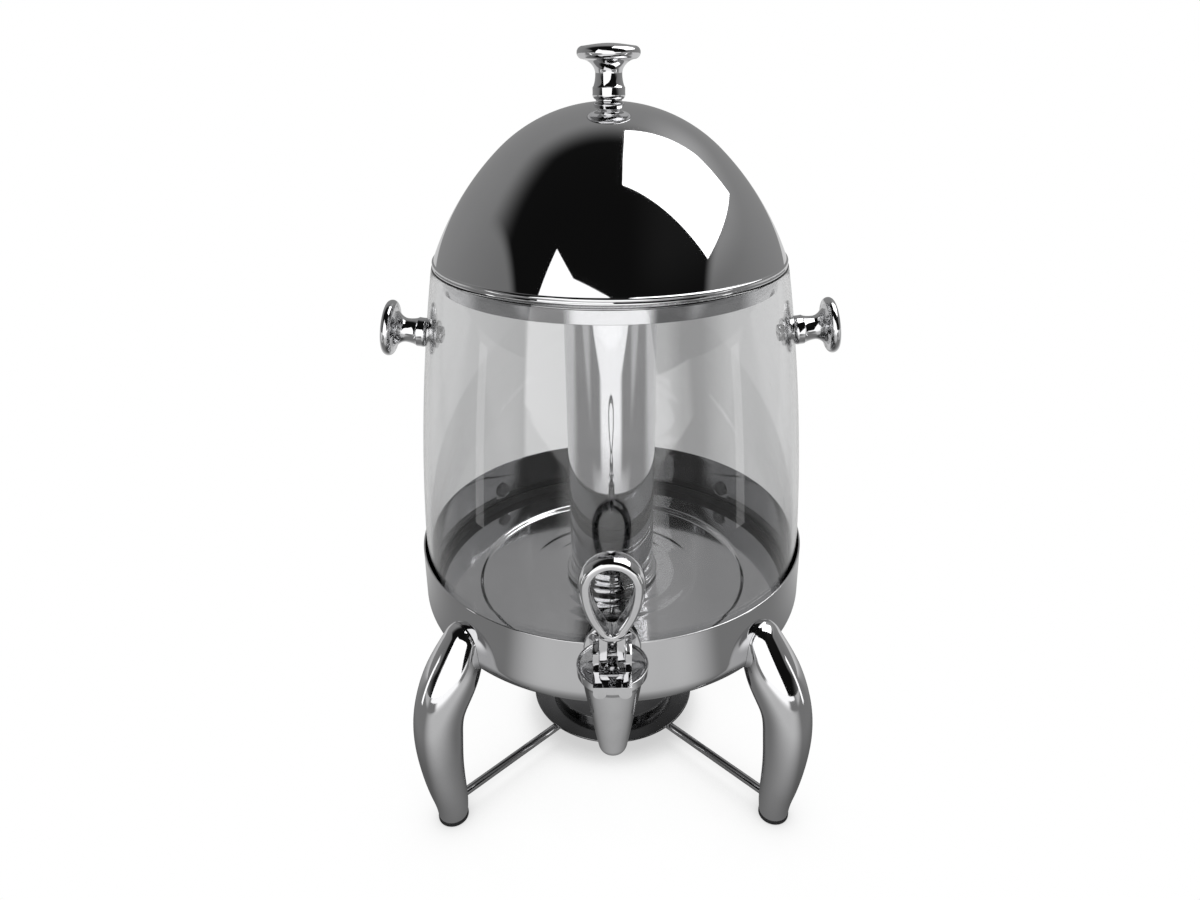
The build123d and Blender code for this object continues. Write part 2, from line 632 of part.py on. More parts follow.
def tap_washer_inner():
    """Rubber washer with its front shaped to the inside of the barrel and a flat back for the nut."""
    blank = extrude(Circle(TAP_WASHER_RADIUS) - Circle(SHANK_RADIUS + SEAT_GAP), 4 * TAP_WASHER)
    flat = inner_washer_face()
    return front_plane(flat + 4 * TAP_WASHER, TAP_HEIGHT) * blank & barrel_core(BARREL_WALL + SEAT_GAP)


def tap_shank_nut():
    nut = hex_nut(TAP_NUT_FLATS, SHANK_RADIUS + RUNNING_FIT, TAP_NUT)
    return front_plane(inner_washer_face(), TAP_HEIGHT) * nut


def fork_cheek(side):
    """Upright plate of the fork about the lever's pin, flat in front and round at the back."""
    half_gap = FORK_GAP / 2
    plane = Plane(origin=(side * half_gap, 0, 0), x_dir=(0, side, 0), z_dir=(side, 0, 0))
    front, rear = -TAP_FORWARD - FORK_FRONT, -TAP_FORWARD + FORK_REAR
    face = PIVOT_Y - FORK_TOP_RADIUS
    outline = make_hull([
        *(Pos(side * PIVOT_Y, PIVOT_HEIGHT) * Circle(FORK_TOP_RADIUS)).edges(),
        *Polyline((side * face, PIVOT_HEIGHT + FORK_FACE_RISE), (side * front, BONNET_TOP)).edges(),
        *Polyline((side * front, BONNET_TOP), (side * rear, BONNET_TOP)).edges(),
    ])
    outline -= Pos(side * PIVOT_Y, PIVOT_HEIGHT) * Circle(PIN_RADIUS + SEAT_GAP)
    return plane * extrude(outline, FORK_CHEEK)


def tap_bonnet():
    """Cap of the bowl with the fork on it, and a lip that hooks over the front of the bowl."""
    plate_radius = BOWL_RADIUS - BOWL_LIP - SEAT_GAP
    half_width = FORK_GAP / 2 + FORK_CHEEK
    bonnet = Pos(0, -TAP_FORWARD) * disc(plate_radius, BONNET_BOTTOM, BONNET_TOP)
    for side in (1, -1):
        bonnet += fork_cheek(side)
    lip_foot = BOWL_TOP + SEAT_GAP
    lip_front = TAP_FORWARD + BOWL_RADIUS + MOVING_GAP + FORK_LIP
    lip_rear = TAP_FORWARD + FORK_FRONT - FORK_CHEEK
    bridge_middle = (0, -(lip_front + lip_rear) / 2, BONNET_TOP)
    bridge_height = lip_foot - BONNET_TOP + FORK_LIP
    bridge = Pos(*bridge_middle) * Box(2 * half_width, lip_front - lip_rear, bridge_height, align=BASE_ALIGN)
    bowl = Pos(0, -TAP_FORWARD) * disc(BOWL_RADIUS + MOVING_GAP, BONNET_TOP - 2 * FORK_LIP_DROP, lip_foot)
    bonnet += bridge - (bowl - Pos(0, -TAP_FORWARD) * disc(plate_radius, BONNET_TOP, BOWL_TOP))
    for side in (1, -1):
        toe_middle = side * (half_width - FORK_TOE_RADIUS)
        toe = Plane(origin=(toe_middle, -lip_front, lip_foot), x_dir=(1, 0, 0), z_dir=(0, 1, 0))
        drop = FORK_LIP_DROP - FORK_TOE_RADIUS
        slot = Pos(0, drop) * Circle(FORK_TOE_RADIUS)
        slot += Pos(0, drop / 2) * Rectangle(2 * FORK_TOE_RADIUS, drop)
        bonnet += toe * extrude(slot, FORK_LIP + BOWL_RADIUS / 2) - bowl
    return bonnet - Pos(0, -TAP_FORWARD) * disc(STEM_RADIUS + RUNNING_FIT, BONNET_BOTTOM, BONNET_TOP)


def loop_outline(inset):
    """Egg outline of the lever's loop in tangent arcs, moved in by inset: round top, sides, small tip."""
    foot = PIVOT_HEIGHT + LOOP_START
    big = LOOP_WIDTH / 2
    tip = LOOP_TIP_RADIUS
    big_height = foot + LOOP_HEIGHT - big
    tip_height = foot + tip
    rise = big_height - tip_height
    side = (big ** 2 + rise ** 2 - tip ** 2) / (2 * (big - tip))
    lean = math.atan2(rise, side - big)

    def on_side(angle):
        across = big - side + (side - inset) * math.cos(angle)
        return across, big_height - (side - inset) * math.sin(angle)

    def mirrored(point):
        return -point[0], point[1]

    right = [on_side(0), on_side(lean / 2), on_side(lean)]
    left = [mirrored(point) for point in right]
    edges = [
        ThreePointArc(left[0], (0, big_height + big - inset), right[0]),
        ThreePointArc(*right),
        ThreePointArc(right[2], (0, tip_height - tip + inset), left[2]),
        ThreePointArc(*left),
    ]
    return make_face(Curve() + edges)


def tap_lever():
    """Loop handle on a hub between the cheeks, with two tines that reach back under the stem's bar."""
    half_depth = LOOP_DEPTH / 2
    plane = Plane(origin=(0, PIVOT_Y, 0), x_dir=(1, 0, 0), z_dir=(0, -1, 0))
    loop = extrude(loop_outline(0) - loop_outline(LOOP_BAND), half_depth, both=True)
    loop = fillet(loop.faces().sort_by(Axis.Z)[0].edges(), LOOP_ROUND)
    loop = fillet(loop.faces().sort_by(Axis.Z)[-1].edges(), LOOP_ROUND)
    hub_width = FORK_GAP - 2 * MOVING_GAP
    across = Plane(origin=(-hub_width / 2, PIVOT_Y, PIVOT_HEIGHT), x_dir=(0, 1, 0), z_dir=(1, 0, 0))
    neck_top = LOOP_START + LOOP_BAND - LOOP_ROUND
    tine_end = PIVOT_FORWARD + TINE_PAST_STEM
    hub = Circle(HUB_RADIUS)
    hub += Pos(0, neck_top / 2) * Rectangle(2 * HUB_RADIUS, neck_top)
    hub += Pos(tine_end / 2, -TINE_THICK / 2) * Rectangle(tine_end, TINE_THICK)
    arm = across * extrude(hub, hub_width)
    slot_half = STEM_RADIUS + 2 * MOVING_GAP
    slot_front = PIVOT_FORWARD - slot_half - MOVING_GAP
    stem_room = Pos(0, PIVOT_Y + slot_front + HUB_RADIUS, PIVOT_HEIGHT)
    arm -= stem_room * Box(2 * slot_half, 2 * HUB_RADIUS, 4 * HUB_RADIUS)
    clevis = Box(2 * slot_half, 4 * HUB_RADIUS, 2 * HUB_RADIUS + CLEVIS_RISE, align=BASE_ALIGN)
    arm -= Pos(0, PIVOT_Y, PIVOT_HEIGHT - 2 * HUB_RADIUS) * clevis
    bar_front = PIVOT_FORWARD - STEM_BAR_RADIUS - 2 * MOVING_GAP
    room = Plane(origin=(-hub_width, PIVOT_Y, PIVOT_HEIGHT), x_dir=(0, 1, 0), z_dir=(1, 0, 0))
    corner = make_face(Polyline(
        (bar_front, 0), (tine_end + HUB_RADIUS, 0),
        (tine_end + HUB_RADIUS, 2 * HUB_RADIUS), (bar_front - HUB_RADIUS, 2 * HUB_RADIUS), close=True))
    arm -= room * extrude(corner, 2 * hub_width)
    lever = plane * loop + arm
    pin_bore = across * extrude(Circle(PIN_RADIUS + RUNNING_FIT), hub_width)
    return lever - pin_bore


def tap_lever_pin():
    half = FORK_GAP / 2 + FORK_CHEEK + PIN_PAST_CHEEK
    spot = Plane(origin=(-half, PIVOT_Y, PIVOT_HEIGHT), x_dir=(0, 1, 0), z_dir=(1, 0, 0))
    return spot * extrude(Circle(PIN_RADIUS), 2 * half)


def tap_stem():
    """Valve rod with a cross bar that the lever's tines lift."""
    bar_height = PIVOT_HEIGHT + STEM_BAR_RADIUS + MOVING_GAP / 2
    half_bar = FORK_GAP / 2 - 2 * MOVING_GAP
    rod = disc(STEM_RADIUS, CHAMBER_FLOOR + MOVING_GAP, bar_height + STEM_ABOVE_BAR)
    rod = fillet(rod.edges().group_by(Axis.Z)[-1], STEM_RADIUS / 2)
    spot = Plane(origin=(-half_bar, 0, bar_height), x_dir=(0, 1, 0), z_dir=(1, 0, 0))
    bar = spot * extrude(Circle(STEM_BAR_RADIUS), 2 * half_bar)
    return Pos(0, -TAP_FORWARD) * (rod + bar)


def tap_valve_seal():
    bottom = CHAMBER_FLOOR + MOVING_GAP / 2
    seal = ring(STEM_RADIUS + RUNNING_FIT, VALVE_RADIUS, bottom, bottom + VALVE_THICK)
    return Pos(0, -TAP_FORWARD) * seal


def tap_spring():
    """Valve spring between the seal and the bonnet; prints the least gap between its turns."""
    start = CHAMBER_FLOOR + MOVING_GAP / 2 + VALVE_THICK + SPRING_WIRE_RADIUS + SEAT_GAP
    end = BONNET_BOTTOM - SPRING_WIRE_RADIUS - SEAT_GAP
    pitch = (end - start) / SPRING_TURNS
    path = Helix(pitch, end - start, SPRING_RADIUS)
    wire = Plane(origin=path @ 0, z_dir=path % 0) * Circle(SPRING_WIRE_RADIUS)
    print("spring: least gap between turns", round(pitch - 2 * SPRING_WIRE_RADIUS, 2), "mm")
    return Pos(0, -TAP_FORWARD, start) * sweep(wire, path)


def save(name, shape):
    export_step(shape, f"parts/{name}.step")


def group(name, solids):
    export_step(Compound(children=list(solids)), f"parts/{name}.step")


def build():
    os.makedirs("parts", exist_ok=True)
    save("base_pan", base_pan())
    save("vessel_floor", vessel_floor())
    save("floor_support_ring", floor_support_ring())
    save("barrel_gasket", barrel_gasket())
    save("barrel", barrel())
    left, right = side_knob_place(-1), side_knob_place(1)
    side_wall = wall_under_side_knob()
    save("side_knob_left", left * knob())
    save("side_knob_right", right * knob())
    group("side_knob_washers", [left * knob_washer(side_wall), right * knob_washer(side_wall)])
    group("side_knob_screws", [left * knob_screw(side_wall), right * knob_screw(side_wall)])
    apex = Pos(0, 0, DOME_TOP)
    save("lid_dome", lid_dome())
    save("lid_skirt_ring", lid_skirt_ring())
    save("lid_knob", apex * knob())
    save("lid_knob_washer", apex * knob_washer(wall_under_lid_knob()))
    save("lid_knob_screw", apex * knob_screw(wall_under_lid_knob()))
    save("ice_tube", ice_tube())
    save("ice_tube_gasket", ice_tube_gasket())
    save("ice_tube_bolt", ice_tube_bolt())
    save("ice_tube_nut", ice_tube_nut())
    for place, angle in LEG_ANGLES.items():
        save(f"leg_{place}", leg(angle))
        save(f"foot_{place}", foot_plug(angle))
        save(f"brace_rod_{place}", brace_rod(angle))
    group("leg_screws", [leg_screw(angle) for angle in LEG_ANGLES.values()])
    save("brace_plate", brace_plate())
    save("brace_plate_ring", brace_plate_ring())
    save("tap_body", tap_body())
    save("tap_collar", tap_collar())
    save("tap_washer_outer", tap_washer_outer())
    save("tap_washer_inner", tap_washer_inner())
    save("tap_shank_nut", tap_shank_nut())
    save("tap_bonnet", tap_bonnet())
    save("tap_lever", tap_lever())
    save("tap_lever_pin", tap_lever_pin())
    save("tap_stem", tap_stem())
    save("tap_valve_seal", tap_valve_seal())
    save("tap_spring", tap_spring())


build()
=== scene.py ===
import json
import math

import bmesh
import bpy
import numpy as np
from mathutils import Matrix, Vector


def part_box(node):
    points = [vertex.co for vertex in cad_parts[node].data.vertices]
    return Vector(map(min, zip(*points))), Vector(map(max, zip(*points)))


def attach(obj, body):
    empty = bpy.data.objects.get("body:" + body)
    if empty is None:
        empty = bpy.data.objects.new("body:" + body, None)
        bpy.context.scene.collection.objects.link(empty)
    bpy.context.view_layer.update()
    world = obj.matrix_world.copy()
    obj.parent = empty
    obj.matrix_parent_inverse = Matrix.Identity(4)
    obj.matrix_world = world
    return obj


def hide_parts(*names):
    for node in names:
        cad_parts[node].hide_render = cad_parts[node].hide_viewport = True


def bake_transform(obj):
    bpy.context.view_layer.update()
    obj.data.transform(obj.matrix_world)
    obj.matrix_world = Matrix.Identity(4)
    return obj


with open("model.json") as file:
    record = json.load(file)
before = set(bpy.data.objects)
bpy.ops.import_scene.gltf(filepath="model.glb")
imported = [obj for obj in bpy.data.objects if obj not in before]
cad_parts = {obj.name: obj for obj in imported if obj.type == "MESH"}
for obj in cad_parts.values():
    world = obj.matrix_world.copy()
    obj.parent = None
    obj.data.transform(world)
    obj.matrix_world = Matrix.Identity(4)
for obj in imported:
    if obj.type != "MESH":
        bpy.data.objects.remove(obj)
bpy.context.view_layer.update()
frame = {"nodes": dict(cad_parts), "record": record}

# Looks of a buffet juice dispenser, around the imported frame. Metres, +Z up, the tap points to -Y.

MM = 0.001


def low(node):
    """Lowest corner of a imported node."""
    return np.array(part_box(node)[0])


def high(node):
    """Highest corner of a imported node."""
    return np.array(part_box(node)[1])


# Base pan and vessel floor
PAN_SHEET = 1.2 * MM
PAN_DRAFT = 1.0 * MM
PAN_CORNER = 16.0 * MM
PAN_EDGE = 0.5 * MM
PAN_RIM = high("base_pan")[2]
PAN_BOTTOM = low("base_pan")[2]
PAN_FOOT_RADIUS = high("base_pan")[0]
PAN_RIM_RADIUS = PAN_FOOT_RADIUS - PAN_DRAFT
PAN_FLAT_STEPS = 10
PAN_CORNER_STEPS = 24
PAN_WALL_STEPS = 12
NOTCH_GAP = 0.3 * MM
NOTCH_STEPS = 61
NOTCH_SIDE = 1.0008
FLOOR_SHEET = 1.2 * MM
FLOOR_STEP_RADIUS = 98.6 * MM
FLOOR_STEP_RUN = 2.5 * MM
FLOOR_SOFT = 3.0 * MM
FLOOR_TOP = high("vessel_floor")[2]
FLOOR_LOW = low("vessel_floor")[2] + FLOOR_SHEET
FLOOR_EDGE_RADIUS = high("vessel_floor")[0]
FLOOR_HOLE = 4.25 * MM
RIDGE_RADII = (47.0 * MM, 60.0 * MM)
RIDGE_HALF = 4.0 * MM
RIDGE_RISE = 0.45 * MM
RIDGE_SOFT = 16.0 * MM

# Clear barrel and its gasket
BARREL_WALL = 3.0 * MM
BARREL_STRAIGHT = 38.0 * MM
BARREL_BELLY_TAPER = 7.7 * MM
BARREL_TAPER = 22.4 * MM
BARREL_EDGE = 0.8 * MM
BARREL_STEPS = 72
BARREL_FINE_STEPS = 400
BARREL_FOOT_STEPS = 8
BARREL_EDGE_STEPS = 9
TAP_HOLE_GAP = 0.25 * MM
KNOB_HOLE_GAP = 0.15 * MM
BARREL_FOOT = low("barrel")[2]
BARREL_TOP = high("barrel")[2]
BARREL_RADIUS = high("barrel")[0]
GASKET_LIP = 2.0 * MM
GASKET_EDGE = 0.6 * MM
GASKET_GAP = 0.1 * MM
GASKET_TOP = high("barrel_gasket")[2]

# Lid
DOME_SHEET = 1.0 * MM
DOME_CROWN_RADIUS = 97.0 * MM
DOME_SHOULDER = 66.0 * MM
DOME_HOLE = 3.25 * MM
DOME_STEPS = 48
DOME_FOOT = high("lid_skirt_ring")[2]
DOME_TOP = low("lid_knob")[2]
LID_RADIUS = high("lid_skirt_ring")[0]
RIM_BEAD = 1.4 * MM
RIM_BEAD_STEPS = 28
SKIRT_RADIUS = 105.1 * MM
SKIRT_SHEET = 1.2 * MM
SKIRT_FOOT = low("lid_skirt_ring")[2]
SKIRT_FLANGE = 1.0 * MM
SKIRT_BEAD = 0.7 * MM
SKIRT_BEAD_DROP = 2.5 * MM
SKIRT_EDGE = 0.3 * MM

# Turned knobs
KNOB_HOLE = 3.1 * MM
KNOB_HOLE_DEPTH = 15.5 * MM
KNOB_FOOT_RADIUS = 7.6 * MM
KNOB_BEAD_RADIUS = 9.4 * MM
KNOB_BEAD_START = 0.6 * MM
KNOB_BEAD_SIDE = (8.9 * MM, 1.5 * MM)
KNOB_BEAD_END = 7.0 * MM
KNOB_NECK_RADIUS = 7.7 * MM
KNOB_NECK_HEIGHT = 14.3 * MM
KNOB_CAP_RADIUS = 18.1 * MM
KNOB_CAP_START = 21.6 * MM
KNOB_CAP_EDGE = 6.8 * MM
KNOB_LENGTH = 29.8 * MM
KNOB_BEAD_WAY = (-3.0 * MM, 3.0 * MM)
KNOB_NECK_WAY = (0.0, 8.0 * MM)
KNOB_FLARE_WAY = (14.0 * MM, 3.0 * MM)
KNOB_CROWN_WAY = (-12.0 * MM, 1.5 * MM)
KNOB_TOP_WAY = (-16.0 * MM, 0.0)
SIDE_KNOB_HEIGHT = 315.5 * MM

# Ice tube
TUBE_RADIUS = 30.3 * MM
TUBE_WALL = 1.0 * MM
TUBE_FLOOR = 4.0 * MM
TUBE_FOOT_HEIGHT = 4.0 * MM
TUBE_EDGE = 0.4 * MM
TUBE_HOLE = 4.25 * MM
TUBE_FOOT_RADIUS = high("ice_tube")[0]
TUBE_FOOT = low("ice_tube")[2]
TUBE_TOP = high("ice_tube")[2]

# Legs: distance from the middle, height and half width of the leg along its curve
LEG_CURVE = np.array((
    (133.4, 143.0, 13.2),
    (147.3, 118.9, 17.7),
    (158.6, 97.1, 16.4),
    (161.8, 74.9, 15.6),
    (161.8, 52.0, 14.1),
    (159.9, 29.0, 12.4),
    (158.3, 13.0, 10.9),
    (158.3, 3.5, 10.0),
)) * MM
LEG_SEAT_GAP = 0.1 * MM
LEG_FINE_STEPS = 600
LEG_ROWS = 150
LEG_COLUMNS = 96
HEAD_STEPS = 40
LEG_ANGLES = {"front_left": 225, "front_right": 315, "rear_right": 45, "rear_left": 135}
FOOT_PAD = 3.5 * MM
FOOT_PLUG_RADIUS = 7.0 * MM
FOOT_EDGE = 0.8 * MM

# Brace between the legs
PLATE_RADIUS = high("brace_plate")[0]
PLATE_TOP = high("brace_plate")[2]
PLATE_BOTTOM = low("brace_plate")[2]
PLATE_EDGE = 0.7 * MM
HOOP_RADIUS = high("brace_plate_ring")[0]
HOOP_TOP = high("brace_plate_ring")[2]
HOOP_SHEET = 1.5 * MM
ROD_RADIUS = 3.0 * MM
ROD_INNER_END = 38.0 * MM
ROD_EDGE = 0.6 * MM
ROD_HEIGHT = (low("brace_rod_rear_right")[2] + high("brace_rod_rear_right")[2]) / 2
ROD_OUTER_END = high("brace_rod_rear_right")[0] * math.sqrt(2) - ROD_RADIUS

# Tap
COLLAR_RADIUS = high("tap_collar")[0]
COLLAR_FRONT = low("tap_collar")[1]
COLLAR_BACK = high("tap_collar")[1]
COLLAR_EDGE = 0.9 * MM
COLLAR_BACK_EDGE = 0.2 * MM
COLLAR_GAP = 0.1 * MM
TAP_HEIGHT = (low("tap_collar")[2] + high("tap_collar")[2]) / 2
BOWL_RADIUS = high("tap_body")[0]
SPOUT_TIP = low("tap_body")[2]
BOWL_TOP = SPOUT_TIP + 63.5 * MM
BOWL_MIDDLE = low("tap_body")[1] + BOWL_RADIUS
BOWL_BAND = 4.5 * MM
BOWL_LIP = 1.6 * MM
BOWL_EDGE = 0.5 * MM
BONNET_BOTTOM = BOWL_TOP - 2.7 * MM
SPOUT_TOP_RADIUS = 17.2 * MM
SPOUT_TOP_DROP = 10.0 * MM
SPOUT_TOP_WAY = (1.0 * MM, 7.0 * MM)
BOWL_FOOT_WAY = (0.0, 6.0 * MM)
SPOUT_TIP_RADIUS = 8.6 * MM
SPOUT_TIP_ROUND = 2.2 * MM
SPOUT_TIP_WAY = (3.5 * MM, 0.0)
SPOUT_SIDE_WAY = (0.5 * MM, 5.0 * MM)
SPOUT_BORE = 5.6 * MM
CHAMBER_RADIUS = 11.8 * MM
CHAMBER_HEIGHT = 9.8 * MM
NECK_RADIUS = 9.5 * MM
SHANK_RADIUS = 8.0 * MM
SHANK_EDGE = 0.8 * MM
SHANK_BORE = 4.2 * MM
ROOM_BITE = 0.5 * MM
SHANK_END = high("tap_body")[1]
PIVOT_Y = (low("tap_lever_pin")[1] + high("tap_lever_pin")[1]) / 2
PIVOT_HEIGHT = (low("tap_lever_pin")[2] + high("tap_lever_pin")[2]) / 2
LOOP_WIDTH = 35.5 * MM
LOOP_HEIGHT = 52.0 * MM
LOOP_DEPTH = 13.0 * MM
LOOP_BAND = 6.6 * MM
LOOP_THINNING = 0.30
LOOP_SQUARENESS = 4.0
LOOP_CROWN = 1.7 * MM
LOOP_TIP_RADIUS = 9.8 * MM
LOOP_STEP = 0.7 * MM
LOOP_COLUMNS = 64
LOOP_TOP = high("tap_lever")[2]
LOOP_FOOT = LOOP_TOP - LOOP_HEIGHT
ARM_GAP = 5.2 * MM
ARM_TOP = LOOP_FOOT + 3.0 * MM
ARM_EDGE = 0.5 * MM
ARM_SLOT_RISE = 1.5 * MM
FORK_EDGE = 0.9 * MM

# Mesh fineness
ROUND_LARGE = 320
ROUND_SMALL = 128
ROUND_DRILL = 64
CORNER_STEPS = 7
EDGE_STEPS = 6
BEVEL_STEPS = 3
SHARP_EDGE = math.radians(28)
FLAT_ANGLE = math.radians(1)
SAME_POINT = 1e-6
NO_EDGE = 1e-7
NO_STEP = 1e-8
SQUARE = ((-1, -1), (1, -1), (1, 1), (-1, 1))


def arc(start, middle, end, count):
    """Points on the circle through three points (r, z), evenly spaced by angle."""
    (ax, ay), (bx, by), (cx, cy) = start, middle, end
    turn = 2 * (ax * (by - cy) + bx * (cy - ay) + cx * (ay - by))
    a2, b2, c2 = ax * ax + ay * ay, bx * bx + by * by, cx * cx + cy * cy
    x = (a2 * (by - cy) + b2 * (cy - ay) + c2 * (ay - by)) / turn
    y = (a2 * (cx - bx) + b2 * (ax - cx) + c2 * (bx - ax)) / turn
    radius = math.hypot(ax - x, ay - y)
    first = math.atan2(ay - y, ax - x)
    through = (math.atan2(by - y, bx - x) - first) % math.tau
    sweep = (math.atan2(cy - y, cx - x) - first) % math.tau
    if through > sweep:
        sweep -= math.tau
    t = first + np.linspace(0, sweep, count)
    return np.column_stack((x + radius * np.cos(t), y + radius * np.sin(t)))


def tangent_arc(start, heading, end, count):
    """Points on the circle that leaves start along heading and meets end."""
    start, end = np.array(start), np.array(end)
    heading = np.array(heading) / np.hypot(*heading)
    across = np.array((-heading[1], heading[0]))
    chord = end - start
    radius = chord @ chord / (2 * (chord @ across))
    centre = start + across * radius
    lean = math.atan2(chord @ across, chord @ heading)
    middle = centre - radius * (across * math.cos(lean) - heading * math.sin(lean))
    return arc(start, middle, end, count)


def soft_curve(start, start_way, end, end_way, count):
    """Cubic Hermite curve from start to end with the given end directions."""
    t = np.linspace(0, 1, count)[:, None]
    start, end = np.array(start), np.array(end)
    start_way, end_way = np.array(start_way), np.array(end_way)
    ease = (1 + 2 * t) * (1 - t) ** 2
    return ease * start + t * (1 - t) ** 2 * start_way + (1 - ease) * end - t * t * (1 - t) * end_way


def rounded(*corners):
    """Closed profile through corners (r, z, fillet): straight runs, with an arc of the fillet's radius at
    each corner, p = centre + (from * sin((1 - t) w) + to * sin(t w)) / sin(w)."""
    corners = np.array(corners)
    points, fillet = corners[:, :2], corners[:, 2:]
    back = np.roll(points, 1, 0) - points
    ahead = np.roll(points, -1, 0) - points
    back /= np.linalg.norm(back, axis=1, keepdims=True)
    ahead /= np.linalg.norm(ahead, axis=1, keepdims=True)
    half = np.arccos(np.clip((back * ahead).sum(1, keepdims=True), -1, 1)) / 2
    centre = points + (back + ahead) / (2 * np.cos(half)) * fillet / np.sin(half)
    start = points + back * fillet / np.tan(half) - centre
    end = points + ahead * fillet / np.tan(half) - centre
    swing = math.pi - 2 * half
    t = np.linspace(0, 1, CORNER_STEPS)[None, :, None]
    swing = swing[:, None]
    bends = start[:, None] * np.sin((1 - t) * swing) + end[:, None] * np.sin(t * swing)
    return without_repeats((centre[:, None] + bends / np.sin(swing)).reshape(-1, 2))


def without_repeats(profile):
    """Profile with each point that lies on the one before it taken out."""
    step = np.linalg.norm(profile - np.roll(profile, 1, 0), axis=1)
    return profile[step > NO_STEP]


def turned(profile, count=ROUND_LARGE):
    """Surface of revolution p(s, a) = (r(s) cos a, r(s) sin a, z(s))."""
    angle = np.arange(count) * math.tau / count
    r, z = profile[:, :1], profile[:, 1:]
    return np.stack((r * np.cos(angle), r * np.sin(angle), z + 0 * angle), -1)


def set_on(points, place, z_way, x_way=(1, 0, 0)):
    """Points moved so that the origin lies at place and +Z along z_way."""
    z_way = np.array(z_way) / np.linalg.norm(z_way)
    y_way = np.cross(z_way, x_way)
    y_way /= np.linalg.norm(y_way)
    turn = np.stack((np.cross(y_way, z_way), y_way, z_way))
    return points @ turn + np.array(place)


def quads(rows, columns, loop_rows):
    """Faces of a grid whose columns go round, and whose rows go round too where loop_rows is true."""
    i, j = np.meshgrid(np.arange(rows if loop_rows else rows - 1), np.arange(columns), indexing="ij")
    below, beside = (i + 1) % rows, (j + 1) % columns
    corners = (i * columns + j, i * columns + beside, below * columns + beside, below * columns + j)
    return np.stack(corners, -1).reshape(-1, 4)


def plain_mesh(name, points, faces):
    """New mesh from points and faces."""
    mesh = bpy.data.meshes.new(name)
    mesh.from_pydata(points, [], faces)
    return mesh


def grid_mesh(name, points, loop_rows=True):
    """Closed mesh of a grid of points; rows that meet in one point become poles."""
    rows, columns, _ = points.shape
    return close_up(plain_mesh(name, points.reshape(-1, 3), quads(rows, columns, loop_rows)))


def opened(mesh):
    """Mesh opened for editing, with its doubled points merged."""
    work = bmesh.new()
    work.from_mesh(mesh)
    bmesh.ops.remove_doubles(work, verts=work.verts, dist=SAME_POINT)
    return work


def smoothed(work, mesh):
    """Writes an edit back to its mesh, and smooths all but the sharp edges."""
    work.to_mesh(mesh)
    work.free()
    mesh.shade_smooth()
    mesh.set_sharp_from_angle(angle=SHARP_EDGE)
    return mesh


def close_up(mesh, turn_out=True):
    """Merges doubles, points the faces outwards and smooths all but the sharp edges."""
    work = opened(mesh)
    bmesh.ops.dissolve_degenerate(work, edges=work.edges, dist=NO_EDGE)
    if turn_out:
        bmesh.ops.recalc_face_normals(work, faces=work.faces)
    return smoothed(work, mesh)


def packed_mesh(node):
    """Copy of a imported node's own mesh."""
    return frame["nodes"][node].data.copy()


def in_scene(name, data):
    """New object in the scene for a mesh, light or camera."""
    made = bpy.data.objects.new(name, data)
    bpy.context.scene.collection.objects.link(made)
    return made


def placed(name, mesh, finish, *nodes):
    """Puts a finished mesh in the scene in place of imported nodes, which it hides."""
    made = in_scene(name, mesh)
    mesh.materials.clear()
    mesh.materials.append(finish)
    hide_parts(*nodes)
    return made


def piece(name, mesh, finish, *nodes):
    """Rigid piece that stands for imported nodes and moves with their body."""
    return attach(placed(name, mesh, finish, *nodes), BODY_OF[nodes[0]])


def turned_piece(name, profile, finish, node, count=ROUND_LARGE, place=None, z_way=(0, 0, 1), loop=True):
    """Piece whose shape is one profile, closed where loop is true, turned about an axis."""
    points = turned(profile, count)
    if place is not None:
        points = set_on(points, place, z_way)
    return piece(name, grid_mesh(name, points, loop), finish, node)


def copied_piece(name, finish, node):
    """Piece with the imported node's own shape, its triangles merged and smoothed."""
    return piece(name, close_up(packed_mesh(node), False), finish, node)


def spring_piece(name, finish, node):
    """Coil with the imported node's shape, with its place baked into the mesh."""
    made = placed(name, close_up(packed_mesh(node), False), finish, node)
    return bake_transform(made)


def cut(mesh, tool, operation="DIFFERENCE"):
    """Mesh cut by, or joined with, a second closed mesh."""
    body = in_scene("cut_body", mesh)
    other = in_scene("cut_tool", tool)
    step = body.modifiers.new("cut", "BOOLEAN")
    step.operation = operation
    step.solver = "EXACT"
    step.object = other
    view = bpy.context.evaluated_depsgraph_get()
    result = bpy.data.meshes.new_from_object(body.evaluated_get(view))
    bpy.data.objects.remove(body)
    bpy.data.objects.remove(other)
    return result


BODIES = frame["record"]["behaviour"]["bodies"]
BODY_OF = {node: body for body, nodes in BODIES.items() for node in nodes}


# Finishes

STEEL_BLUE = 1.012
PLASTIC_BRIGHT = (0.955, 0.957, 0.96, 1)
PLASTIC_DULL = (0.94, 0.942, 0.945, 1)
PLASTIC_IOR = 1.5
SMUDGE_DETAIL = 5.0
SMUDGE_LEVELS = (0.45, 0.72)
STREAK_STRETCH = (6.0, 6.0, 1.0)
STREAK_DETAIL = 3.0
STREAK_LEVELS = (0.3, 0.7)
STREAK_LEAST = 0.3
WAVE_DETAIL = 2.0
WAVE_DEPTH = 1.0 * MM
RING_SCALE = 500.0
RING_DETAIL = 3.0
RING_STRENGTH = 0.8
RING_DEPTH = 0.002 * MM
RUBBER_DARK = (0.012, 0.012, 0.013, 1)
RUBBER_PALE = (0.035, 0.035, 0.037, 1)
RUBBER_LEVELS = (0.3, 0.7)
RUBBER_ROUGHNESS = (0.45, 0.7)
RUBBER_DETAIL = 3.0
PATCH_SCALE = 60.0
GRAIN_SCALE = 900.0
GRAIN_STRENGTH = 0.25
GRAIN_DEPTH = 0.2 * MM


